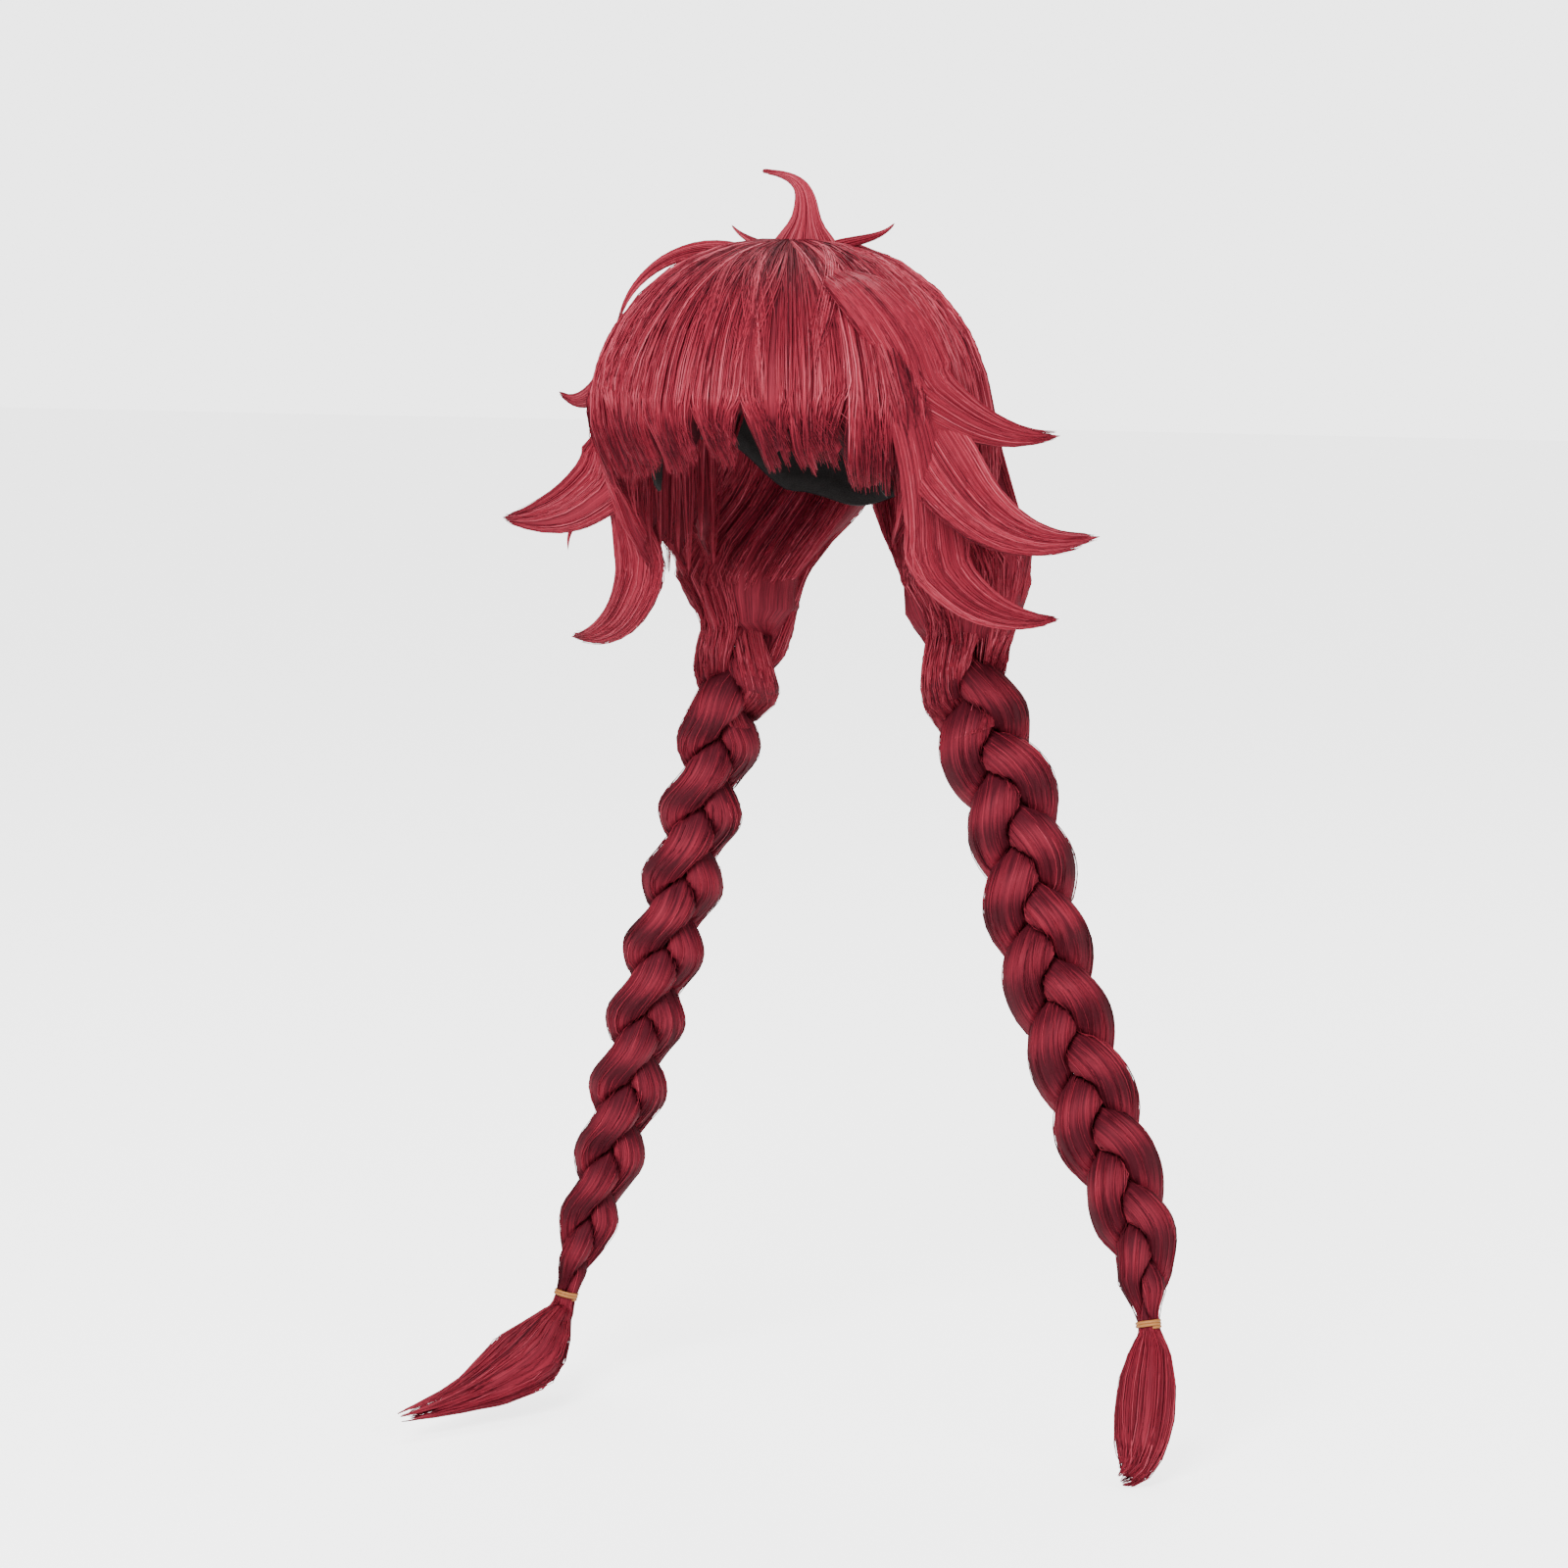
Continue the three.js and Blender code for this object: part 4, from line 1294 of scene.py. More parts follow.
    def over_cap(self, reach: Array, steps: Array) -> tuple[Array, Array]:
        """Control points of the stretch that lies on the hair of the cap.

        Args:
            reach: the point of the curve that the stretch runs to.
            steps: shares of the stretch's length.

        Returns:
            Points by three, and the way the flat faces at each.
        """
        azimuth = math.degrees(math.atan2(reach[0] / HALF_WIDTH, -reach[1] / HALF_DEPTH))
        part = np.linspace(0, 1, self.PATH_POINTS)
        top = (ABOVE + CROWN_HAIR) * math.sin(math.radians(self.start[1]))
        z = lerp(top, reach[2], part)
        az = lerp(self.start[0], azimuth, part)
        el = np.degrees(np.arcsin(np.clip(z / (ABOVE + FRONT_HAIR), 0, 1)))
        lift = lerp(self.BURIED, self.lift, smooth(part, 0, self.LIFTED_BY))
        level = math.asin(min(max(reach[2] / (ABOVE + FRONT_HAIR), 0), 1))
        turn = math.radians(azimuth)
        hollow = math.hypot(HALF_WIDTH * math.sin(turn), HALF_DEPTH * math.cos(turn))
        joined = math.hypot(reach[0], reach[1]) / math.cos(level) - hollow
        offset = lerp(HAIR_SEAT + hair_thickness(az, el) + lift, joined, smooth(part, self.JOINED_FROM, 1))
        path = shell_point(az, el, offset)
        path[:, 2] = np.where(z < 0, z, path[:, 2])
        out = unit(shell_point(az, el, self.OUTWARD) - shell_point(az, el, 0.0))
        out = unit(lerp(out, facing_vector(self.face), smooth(part, self.turn_from, 1)[:, None]))
        length = walked(path)
        return read_line(path, length, steps * length[-1]), read_line(out, length, steps * length[-1])

    def frames(self) -> tuple[Array, Array, Array, Array]:
        """The lock's middle line, at even samples of its control points.

        Returns:
            Points, directions across the lock and through it, and places on the curve.
        """
        at = np.linspace(0, 1, self.samples)
        points, facings, places = self.guide()
        middle = smooth_lines(points[None], at)[0]
        normal = unit(smooth_lines(facings[None], at)[0])
        place = smooth_lines(places[None, :, None], at)[0, :, 0]
        heading = unit(np.gradient(middle, axis=0))
        across = unit(np.cross(heading, normal))
        return middle, across, np.cross(across, heading), place

    def core(self, middle: Array, across: Array, flat: Array, place: Array) -> Array:
        """Loops of the closed core under the fibres.

        Args:
            middle: points of the middle line.
            across: directions across the lock.
            flat: directions through it.
            place: places on the curve.

        Returns:
            Points, samples by sides by three.
        """
        turn = round_angles(self.CORE_SIDES)
        wide, thick = self.half_sizes(place)
        aside = (self.CORE_LEAST + self.CORE_WIDE * wide)[:, None] * np.cos(turn)
        through = (self.CORE_LEAST + self.CORE_THICK * thick)[:, None] * np.sin(turn)
        through = through - self.sag(aside, place[:, None])
        return middle[:, None] + aside[..., None] * across[:, None] + through[..., None] * flat[:, None]

    def fibre_lines(self, middle: Array, across: Array, flat: Array, place: Array,
                    rng: np.random.Generator) -> tuple[Array, Array]:
        """Lines of the fibres, gathered in strips round the lock.

        Args:
            middle: points of the middle line.
            across: directions across the lock.
            flat: directions through it.
            place: places on the curve.
            rng: source of every uneven value.

        Returns:
            Points, fibres by rings by three, and each fibre's tone.
        """
        count, strips = self.fibres, self.strips
        strip = np.arange(count) % strips
        aside = 2 * (np.arange(strips) + rng.random(strips)) / strips - 1
        outward = np.where(rng.random(strips) < self.outer_share, 1, -1)
        face = outward * rng.uniform(*self.STRIP_DEPTHS, strips)
        centre = np.stack([aside, face * np.sqrt(1 - aside**2)], axis=-1)[strip]
        section = centre + rng.normal(0, self.LOOSE, (count, 2))
        section /= np.maximum(np.linalg.norm(section, axis=1, keepdims=True), 1)
        split = rng.normal(0, self.STRIP_SPLIT, (strips, 2))[strip]
        split = split + rng.normal(0, self.FIBRE_SPLIT, (count, 2))
        wide, thick = self.half_sizes(place)
        fray = np.clip(place, 0, 1) ** 3 * self.width
        aside = section[:, :1] * (wide + self.PROUD) + split[:, :1] * fray
        through = section[:, 1:] * (thick + self.PROUD) + split[:, 1:] * self.SPLIT_THROUGH * fray
        through = through - self.sag(aside, place)
        lines = middle + aside[..., None] * across + through[..., None] * flat
        start = rng.random(count) ** self.START_POWER * (0.0 if self.start is None else self.LATEST_START)
        stop = rng.uniform(*self.STRIP_STOPS, strips)[strip] * rng.uniform(*self.FIBRE_STOPS, count)
        tone = self.tone + rng.normal(0, self.STRIP_TONE, strips)[strip]
        tone = tone + rng.normal(0, self.FIBRE_TONE, count)
        return between(lines, start, stop, self.rings), tone

    def wisp_lines(self, middle: Array, across: Array, place: Array, rng: np.random.Generator) -> Array:
        """Lines of a small wisp that leaves the lock's lower edge and hangs to a point.

        Args:
            middle: points of the lock's middle line.
            across: directions across the lock.
            place: places on the curve.
            rng: source of the fibres' own offsets.

        Returns:
            Points, fibres by rings by three.
        """
        k = int(np.argmin(abs(place - self.wisp)))
        half = across[k] * self.half_sizes(place)[0][k]
        lower = half * -np.sign(half[2])
        inside = middle[k - self.WISP_LEAD] + self.WISP_ROOT * lower
        edge = middle[k] + self.WISP_EDGE * lower
        hanging = np.array([0, 0, -self.WISP_LENGTH])
        t = np.linspace(0, 1, self.rings)
        line, _ = bezier([inside, edge, edge + self.WISP_DROP * hanging, edge + hanging], t)
        closing = (1 - t[:, None]) ** self.WISP_TAPER
        return line + rng.normal(0, self.WISP_WIDTH / 2, (self.WISP_FIBRES, 1, 3)) * closing

    def build(self, material: bpy.types.Material) -> None:
        """Makes the lock's piece: fibres over a closed core.

        Args:
            material: the hair's finish.
        """
        rng = np.random.default_rng(self.seed)
        middle, across, flat, place = self.frames()
        mesh = HairMesh()
        mesh.add_form(self.core(middle, across, flat, place), self.CORE_TONE)
        lines, tone = self.fibre_lines(middle, across, flat, place, rng)
        at = np.linspace(0, 1, self.rings)
        # Painted shade, darker at the roots of a lock that starts over the cap
        rooted = 0 * at if self.start is None else lerp(self.ROOT_TONE, 0, smooth(at, 0, self.ROOT_TONE_BY))
        mesh.add_fibres(lines, self.SIZE.along(len(lines), at, rng), tone[:, None] + rooted, rng)
        if self.wisp:
            lines = self.wisp_lines(middle, across, place, rng)
            tones = np.full(lines.shape[:2], self.tone)
            mesh.add_fibres(lines, self.SIZE.along(len(lines), at, rng), tones, rng)
        seat(mesh.to_object(f"{self.name}_fibres", material), Slot.HAIR, self.name)


@dataclass
class PlaitHair:
    """The strands of a plait, each a grooved form under loose fibres."""

    plait: Plait
    seed: int
    fibres: int = 210
    rings: int = 10
    size: FibreSize = FibreSize(radius=0.32, root=0.3, tip=0.25)
    # The form of a strand, from above the plait's top into its tie
    rays: int = 46
    steps: int = 126
    above: float = 0.03
    into_tie: float = 0.01
    form_sunk: float = 0.35
    top_sunk: float = 6.0
    groove_counts: tuple[int, ...] = (7, 11, 16, 23)
    groove_twist: float = 3.0
    groove_heights: tuple[float, float] = (0.14, 0.26)
    groove_depth: float = 0.55
    # Its loose fibres
    starts: tuple[float, float] = (-0.06, 0.93)
    lengths: tuple[float, float] = (0.08, 0.2)
    twist: float = 1.6
    ends_sunk: float = 0.5
    lifts: tuple[float, float] = (0.5, 1.15)
    # How light they are. All are low, painted shade of the plait, the form lowest as painted shade beneath
    # the fibres, and each strand is lighter where it rides over the others and darker where it tucks under,
    # painted light and shade
    form_tone: float = 0.08
    tone: float = 0.17
    fibre_tone: float = 0.12
    worn_tones: tuple[float, float] = (-0.1, 0.1)

    def build(self, material: bpy.types.Material) -> None:
        """Makes one piece for each strand.

        Args:
            material: the hair's finish.
        """
        for strand in range(self.plait.strands):
            rng = np.random.default_rng(self.seed + strand)
            mesh = HairMesh()
            along = np.linspace(-self.above, 1 + self.into_tie, self.steps)
            mesh.add_form(self.form(strand, along, rng), self.form_tone + self.worn(strand, along))
            lines, tone = self.fibre_lines(strand, rng)
            at = np.linspace(0, 1, self.rings)
            mesh.add_fibres(lines, self.size.along(self.fibres, at, rng), tone, rng)
            node = f"plait_{self.plait.side.word}_strand_{strand + 1}"
            seat(mesh.to_object(f"{node}_fibres", material), Slot.HAIR, node)

    def worn(self, strand: int, along: Array) -> Array:
        """Painted light and shade along a strand: lighter where it rides over the others, darker where it
        tucks under.
        """
        return lerp(*self.worn_tones, np.sin(2 * self.plait.turn(strand, along)) ** 2)

    def form(self, strand: int, along: Array, rng: np.random.Generator) -> Array:
        """Loops of a strand, with grooves that follow its hair.

        Args:
            strand: its number, from 0.
            along: shares along the plait, one for each loop.
            rng: source of the grooves.

        Returns:
            Points, loops by rays by three.
        """
        along = along[:, None] * np.ones((1, self.rays))
        angle = round_angles(self.rays) + 0 * along
        groove = np.zeros_like(angle)
        for count in self.groove_counts:
            phase = rng.uniform(0, 2 * np.pi) + rng.normal(0, self.groove_twist) * along
            groove += np.sin(count * angle + phase) * rng.uniform(*self.groove_heights)
        sunk = self.form_sunk + self.top_sunk * (1 - smooth(along, -self.above, self.above))
        return self.plait.surface(strand, along, angle, self.groove_depth * groove - sunk)

    def fibre_lines(self, strand: int, rng: np.random.Generator) -> tuple[Array, Array]:
        """Lines of the loose fibres on a strand.

        Args:
            strand: its number, from 0.
            rng: source of every uneven value.

        Returns:
            Points, fibres by rings by three, and tones, fibres by rings.
        """
        each = (self.fibres, 1)
        at = np.linspace(0, 1, self.rings)[None, :]
        start = rng.uniform(*self.starts, each)
        length = rng.uniform(*self.lengths, each)
        along = np.clip(start + length * at, -self.above, 1 + self.into_tie)
        turn = rng.normal(0, self.twist, each) * (along - start)
        angle = rng.uniform(0, 2 * np.pi, each) + turn
        lift = np.sin(np.pi * at) * rng.uniform(*self.lifts, each) - self.ends_sunk
        tone = self.tone + rng.normal(0, self.fibre_tone, each) + self.worn(strand, along)
        return self.plait.surface(strand, along, angle, lift), tone


@dataclass
class PlaitTail:
    """The loose hair below a tie: one bundle that swells, then narrows to an end in uneven points.

    Its shape gives half its width by the share of its length, and its depth as a share of the width.
    """

    plait: Plait
    flat: tuple[float, float, float]
    lead: float
    path: tuple[tuple[float, float, float], ...]
    shape: Table
    seed: int
    fibres: int = 420
    clumps: int = 12
    rings: int = 11
    samples: int = 44
    to_tie: float = 3.85
    size: FibreSize = FibreSize(radius=0.32)
    # The form under the fibres, darker than them: painted shade of the hair beneath
    columns: int = 40
    groove_depths: tuple[float, float] = (0.86, 0.96)
    form_end: tuple[float, float] = (0.68, 0.92)
    form_narrowed: float = 0.9
    form_tone: float = 0.24
    # The lie of the fibres
    clump_width: float = 2.2
    out_squares: tuple[float, float] = (0.3, 1.06)
    clump_out: float = 0.8
    gathered: float = 0.8
    gathered_from: float = 0.6
    start_power: float = 2.0
    latest_start: float = 0.3
    clump_stops: tuple[float, float] = (0.86, 1.0)
    fibre_stops: tuple[float, float] = (0.96, 1.0)
    # How light they are
    tone: float = 0.3
    clump_tone: float = 0.05
    fibre_tone: float = 0.12

    def frames(self) -> tuple[Array, Array, Array, Array, Array]:
        """The bundle at even samples of its path.

        Returns:
            Points of its middle, directions across and through it, and half its width and depth.
        """
        at = np.linspace(0, 1, self.samples)
        place, heading, _, _ = self.plait.frame(1.0)
        top = place + self.to_tie * heading
        points = np.concatenate([[top, top + self.lead * heading], np.asarray(self.path, float)])
        middle = smooth_lines(points[None], at)[0]
        length = walked(middle)
        heading = unit(np.gradient(middle, axis=0))
        across = unit(np.cross(np.asarray(self.flat, float), heading))
        half = ease(self.shape, "part", length / length[-1], "half")
        return middle, across, np.cross(heading, across), half, half * ease(self.shape, "part", at, "deep")

    def add_form(self, mesh: HairMesh, rng: np.random.Generator) -> None:
        """Adds the grooved form under the fibres.

        Args:
            mesh: what it is added to.
            rng: source of the grooves.
        """
        middle, across, through, half, deep = self.frames()
        turn = round_angles(self.columns)
        groove = rng.uniform(*self.groove_depths, self.columns)
        aside = (half[:, None] * np.cos(turn) * groove)[..., None] * across[:, None]
        outward = (deep[:, None] * np.sin(turn) * groove)[..., None] * through[:, None]
        narrowed = 1 - self.form_narrowed * smooth(np.linspace(0, 1, self.samples), *self.form_end)
        loops = middle[:, None] + narrowed[:, None, None] * (aside + outward)
        mesh.add_form(loops[: round(self.form_end[1] * self.samples)], self.form_tone)

    def fibre_lines(self, rng: np.random.Generator) -> tuple[Array, Array]:
        """Lines of the fibres, in clumps that gather to points.

        Args:
            rng: source of every uneven value.

        Returns:
            Points, fibres by rings by three, and each fibre's tone.
        """
        middle, across, through, half, deep = self.frames()
        count = self.fibres
        clump = rng.integers(0, self.clumps, count)
        around = 2 * np.pi * (np.arange(self.clumps) + rng.random(self.clumps)) / self.clumps
        spoke = around[clump] + rng.normal(0, self.clump_width / self.clumps, count) * np.pi
        out = np.sqrt(rng.uniform(*self.out_squares, count))
        section = out[:, None] * np.stack([np.cos(spoke), np.sin(spoke)], axis=-1)
        centre = self.clump_out * np.stack([np.cos(around), np.sin(around)], axis=-1)[clump]
        gathered = self.gathered * smooth(np.linspace(0, 1, self.samples), self.gathered_from, 1)
        section = lerp(section[:, None], centre[:, None], gathered[None, :, None])
        lines = middle + (section[..., 0] * half)[..., None] * across
        lines = lines + (section[..., 1] * deep)[..., None] * through
        stop = rng.uniform(*self.clump_stops, self.clumps)[clump] * rng.uniform(*self.fibre_stops, count)
        start = rng.random(count) ** self.start_power * self.latest_start
        tone = self.tone + rng.normal(0, self.clump_tone, self.clumps)[clump]
        tone = tone + rng.normal(0, self.fibre_tone, count)
        return between(lines, start, stop, self.rings), tone

    def build(self, material: bpy.types.Material) -> None:
        """Makes the tail's piece: fibres over a grooved form.

        Args:
            material: the hair's finish.
        """
        rng = np.random.default_rng(self.seed)
        mesh = HairMesh()
        self.add_form(mesh, rng)
        lines, tone = self.fibre_lines(rng)
        at = np.linspace(0, 1, self.rings)
        mesh.add_fibres(lines, self.size.along(self.fibres, at, rng), tone[:, None] + 0 * at, rng)
        node = f"plait_{self.plait.side.word}_tail"
        seat(mesh.to_object(f"{node}_fibres", material), Slot.HAIR, node)


@dataclass
class ElasticTie:
    """The amber elastic, wound round the end of a plait with both its ends tucked in."""

    plait: Plait
    radius: float = 6.5
    thread: float = 0.92
    turns: float = 2.4
    pitch: float = 1.7
    neck_length: float = 7.0
    gap: float = 0.35
    tuck: float = 0.9
    tuck_turns: float = 0.12
    points: int = 120
    sides: int = 16
    tone: float = 0.5

    def build(self, material: bpy.types.Material) -> None:
        """Makes the tie's piece.

        Args:
            material: the elastic's finish.
        """
        place, heading, across, front = self.plait.frame(1.0)
        middle = place + (self.gap + self.neck_length / 2) * heading
        wind = np.linspace(-0.5, 0.5, self.points) * self.turns
        turn = 2 * np.pi * wind
        out = np.cos(turn)[:, None] * across + np.sin(turn)[:, None] * front
        tucked = self.tuck * smooth(np.abs(wind), self.turns / 2 - self.tuck_turns, self.turns / 2)
        line = middle + (self.radius - self.thread * tucked)[:, None] * out
        line = line + (self.pitch * wind)[:, None] * heading
        angle = round_angles(self.sides)
        loops = np.cos(angle)[None, :, None] * out[:, None] + np.sin(angle)[None, :, None] * heading
        mesh = HairMesh()
        mesh.add_form(line[:, None] + self.thread * loops, self.tone)
        node = f"plait_{self.plait.side.word}_tie"
        seat(mesh.to_object(f"{node}_elastic", material), Slot.TIE, node)


@dataclass
class NetCap:
    """The black net cap, a shell with a shaped rim."""

    columns: int = 96
    rows: int = 24
    top: float = 89.0
    rim_bead: float = 0.5
    bead_by: float = 0.05
    tone: float = 0.5
    rim: Table = field(default_factory=lambda: {
        "azimuth": (0, 45, 62, 74, 90, 120, 150, 180),
        "height": (36, 28, -6, -38, -4, -14, -42, -50),
    })

    def build(self, material: bpy.types.Material) -> None:
        """Makes the cap's piece.

        Args:
            material: the net's finish.
        """
        azimuth = np.linspace(0, 360, self.columns, endpoint=False)
        height = ease(self.rim, "azimuth", np.minimum(azimuth, 360 - azimuth), "height")
        edge = np.degrees(np.arcsin(height / np.where(height >= 0, ABOVE, BELOW)))
        part = np.linspace(0, 1, self.rows)[:, None]
        elevation = lerp(edge[None, :], self.top, part)
        bead = self.rim_bead * (1 - smooth(part, 0, self.bead_by))
        inside = shell_point(azimuth[None, :], elevation, 0 * elevation)[::-1]
        outside = shell_point(azimuth[None, :], elevation, CAP_WALL + bead + 0 * elevation)
        mesh = HairMesh()
        mesh.add_form(np.concatenate([inside, outside]), self.tone)
        seat(mesh.to_object("wig_cap_net", material), Slot.CAP, "wig_cap")


def new_group(name: str, inputs: dict[str, str], outputs: dict[str, str]) -> bpy.types.NodeTree:
    """Starts a shader node group.

    Args:
        name: the group's name.
        inputs: socket type by input name.
        outputs: socket type by output name.

    Returns:
        The group with its sockets and its two end nodes.
    """
    group = bpy.data.node_groups.new(name, "ShaderNodeTree")
    for word, kind in inputs.items():
        group.interface.new_socket(word, in_out="INPUT", socket_type=kind)
    for word, kind in outputs.items():
        group.interface.new_socket(word, in_out="OUTPUT", socket_type=kind)
    group.nodes.new("NodeGroupInput")
    group.nodes.new("NodeGroupOutput")
    return group


VALUE, VECTOR = "NodeSocketFloat", "NodeSocketVector"
# Scale and detail of the streaks' noise, its roughness and its middle value
STREAKS = {"Fine": (1.0, 4.0), "Broad": (0.17, 2.0)}
STREAK_ROUGHNESS = 0.65
STREAK_MIDDLE = 0.5


def streak_group() -> bpy.types.NodeTree:
    """Makes the group that draws fine and broad streaks along the flow of hair or thread.

    Returns:
        The group, with a shade and a height as its outputs.
    """
    group = new_group(
        "fibre_streaks",
        {"Flow": VECTOR, "Tone": VALUE, "Across": VALUE, "Along": VALUE, "Fine": VALUE, "Broad": VALUE},
        {"Shade": VALUE, "Height": VALUE},
    )
    nodes, links = group.nodes, group.links
    start, end = nodes["Group Input"], nodes["Group Output"]
    scale = nodes.new("ShaderNodeCombineXYZ")
    links.new(start.outputs["Across"], scale.inputs["X"])
    links.new(start.outputs["Along"], scale.inputs["Y"])
    scale.inputs["Z"].default_value = 1.0
    stretched = nodes.new("ShaderNodeVectorMath")
    stretched.operation = "MULTIPLY"
    links.new(start.outputs["Flow"], stretched.inputs[0])
    links.new(scale.outputs["Vector"], stretched.inputs[1])
    last = start.outputs["Tone"]
    heights = []
    for word, (size, detail) in STREAKS.items():
        noise = nodes.new("ShaderNodeTexNoise")
        noise.inputs["Scale"].default_value = size
        noise.inputs["Detail"].default_value = detail
        noise.inputs["Roughness"].default_value = STREAK_ROUGHNESS
        links.new(stretched.outputs["Vector"], noise.inputs["Vector"])
        centred = nodes.new("ShaderNodeMath")
        centred.operation = "SUBTRACT"
        centred.inputs[1].default_value = STREAK_MIDDLE
        links.new(noise.outputs["Fac"], centred.inputs[0])
        shade = nodes.new("ShaderNodeMath")
        shade.operation = "MULTIPLY_ADD"
        links.new(centred.outputs["Value"], shade.inputs[0])
        links.new(start.outputs[word], shade.inputs[1])
        links.new(last, shade.inputs[2])
        last = shade.outputs["Value"]
        heights.append(noise.outputs["Fac"])
    links.new(last, end.inputs["Shade"])
    links.new(heights[0], end.inputs["Height"])
    return group


@dataclass(frozen=True)
class FibreFinish:
    """A finish of hair or thread: colours and roughness from its dark streaks to its light ones."""

    name: str
    colours: tuple[tuple[float, float, float], ...]
    stops: tuple[float, ...]
    roughness: tuple[float, float]
    across: float
    along: float
    fine: float
    broad: float
    bump: float
    specular: float = 0.5
    gloss: tuple[float, float, float] = (1, 1, 1)

    SHADES = (0.15, 0.6)
    BUMP_DEPTH = 0.5

    def material(self, streaks: bpy.types.NodeTree) -> bpy.types.Material:
        """Makes the material.

        Args:
            streaks: the shared group of streaks.

        Returns:
            The new material.
        """
        made = bpy.data.materials.new(self.name)
        made.use_nodes = True
        nodes, links = made.node_tree.nodes, made.node_tree.links
        shader = nodes["Principled BSDF"]
        shader.inputs["Specular IOR Level"].default_value = self.specular
        shader.inputs["Specular Tint"].default_value = (*self.gloss, 1.0)
        flow = nodes.new("ShaderNodeAttribute")
        flow.attribute_name = "flow"
        tone = nodes.new("ShaderNodeAttribute")
        tone.attribute_name = "tone"
        group = nodes.new("ShaderNodeGroup")
        group.node_tree = streaks
        for word in ("across", "along", "fine", "broad"):
            group.inputs[word.capitalize()].default_value = getattr(self, word)
        links.new(flow.outputs["Vector"], group.inputs["Flow"])
        links.new(tone.outputs["Fac"], group.inputs["Tone"])
        ramp = nodes.new("ShaderNodeValToRGB")
        while len(ramp.color_ramp.elements) < len(self.stops):
            ramp.color_ramp.elements.new(0.5)
        for element, stop, colour in zip(ramp.color_ramp.elements, self.stops, self.colours):
            element.position = stop
            element.color = (*colour, 1.0)
        links.new(group.outputs["Shade"], ramp.inputs["Fac"])
        links.new(ramp.outputs["Color"], shader.inputs["Base Color"])
        rough = nodes.new("ShaderNodeMapRange")
        rough.inputs["From Min"].default_value = self.SHADES[0]
        rough.inputs["From Max"].default_value = self.SHADES[1]
        rough.inputs["To Min"].default_value = self.roughness[0]
        rough.inputs["To Max"].default_value = self.roughness[1]
        links.new(group.outputs["Shade"], rough.inputs["Value"])
        links.new(rough.outputs["Result"], shader.inputs["Roughness"])
        bump = nodes.new("ShaderNodeBump")
        bump.inputs["Strength"].default_value = self.bump
        bump.inputs["Distance"].default_value = self.BUMP_DEPTH * MM
        links.new(group.outputs["Height"], bump.inputs["Height"])
        links.new(bump.outputs["Normal"], shader.inputs["Normal"])
        return made


HAIR_FINISH = FibreFinish(
    name="red_hair",
    colours=((0.05, 0.003, 0.008), (0.31, 0.023, 0.043), (0.66, 0.13, 0.175)),
    stops=(0.0, 0.5, 1.0),
    roughness=(0.68, 0.44),
    across=1.3,
    along=0.02,
    fine=1.0,
    broad=0.45,
    bump=0.7,
    specular=0.24,
    gloss=(1.0, 0.5, 0.55),
)
CAP_FINISH = FibreFinish(
    name="black_net",
    colours=((0.003, 0.0025, 0.0025), (0.012, 0.01, 0.01), (0.03, 0.026, 0.025)),
    stops=(0.0, 0.5, 1.0),
    roughness=(0.95, 0.7),
    across=1.4,
    along=1.4,
    fine=1.4,
    broad=0.3,
    bump=0.8,
    specular=0.3,
)
TIE_FINISH = FibreFinish(
    name="amber_elastic",
    colours=((0.24, 0.075, 0.014), (0.42, 0.16, 0.035), (0.58, 0.27, 0.075)),
    stops=(0.0, 0.5, 1.0),
    roughness=(0.58, 0.4),
    across=0.8,
    along=2.0,
    fine=1.2,
    broad=0.3,
    bump=0.4,
)

PLAITS = (
    Plait(side=Side.LEFT, turns=2.9, phase=-0.1, face=26, face_below=26, girth=1, route=(
        (70, 82, -134.95), (80, 86, -177), (98, 87, -219), (120, 85, -303),
        (150, 78, -379), (189, 66, -462), (197, 58, -504),
    )),
    Plait(side=Side.RIGHT, turns=3.1, phase=0.1, face=20, face_below=60, girth=0.87, route=(
        (-70, 82, -134.95), (-87, 86, -185), (-114, 88, -276), (-139, 87, -361),
        (-159, 84, -436), (-174, 76, -490), (-183, 68, -528),
    )),
)
PLAIT_SEEDS = (700, 710)
TAILS = (
    PlaitTail(PLAITS[0], seed=501, flat=(0.44, -0.9, 0), lead=11, path=(
        (202.5, 46, -532), (206, 30, -559), (207, 14, -578), (201, 2, -585.5),
    ), shape={
        "part": (0, 0.04, 0.12, 0.2, 0.34, 0.52, 0.7, 0.84, 0.92, 0.97, 1),
        "half": (6, 6.4, 10, 13, 16.5, 17.3, 15.7, 12.8, 9.5, 5.5, 1.2),
        "deep": (1, 1, 1, 0.95, 0.9, 0.85, 0.75, 0.6, 0.5, 0.5, 0.5),
    }),
    PlaitTail(PLAITS[1], seed=502, flat=(0.3, -0.7, 0.65), lead=11, path=(
        (-184, 47, -547), (-181, 8, -560), (-196, -42, -572), (-215, -88, -577),
    ), shape={
        "part": (0, 0.03, 0.08, 0.15, 0.27, 0.39, 0.55, 0.7, 0.85, 0.94, 1),
        "half": (6, 6.4, 8, 11.5, 18, 22.5, 18, 11.5, 7.5, 5, 1.5),
        "deep": (1, 1, 1, 0.9, 0.75, 0.65, 0.6, 0.6, 0.55, 0.5, 0.5),
    }),
)
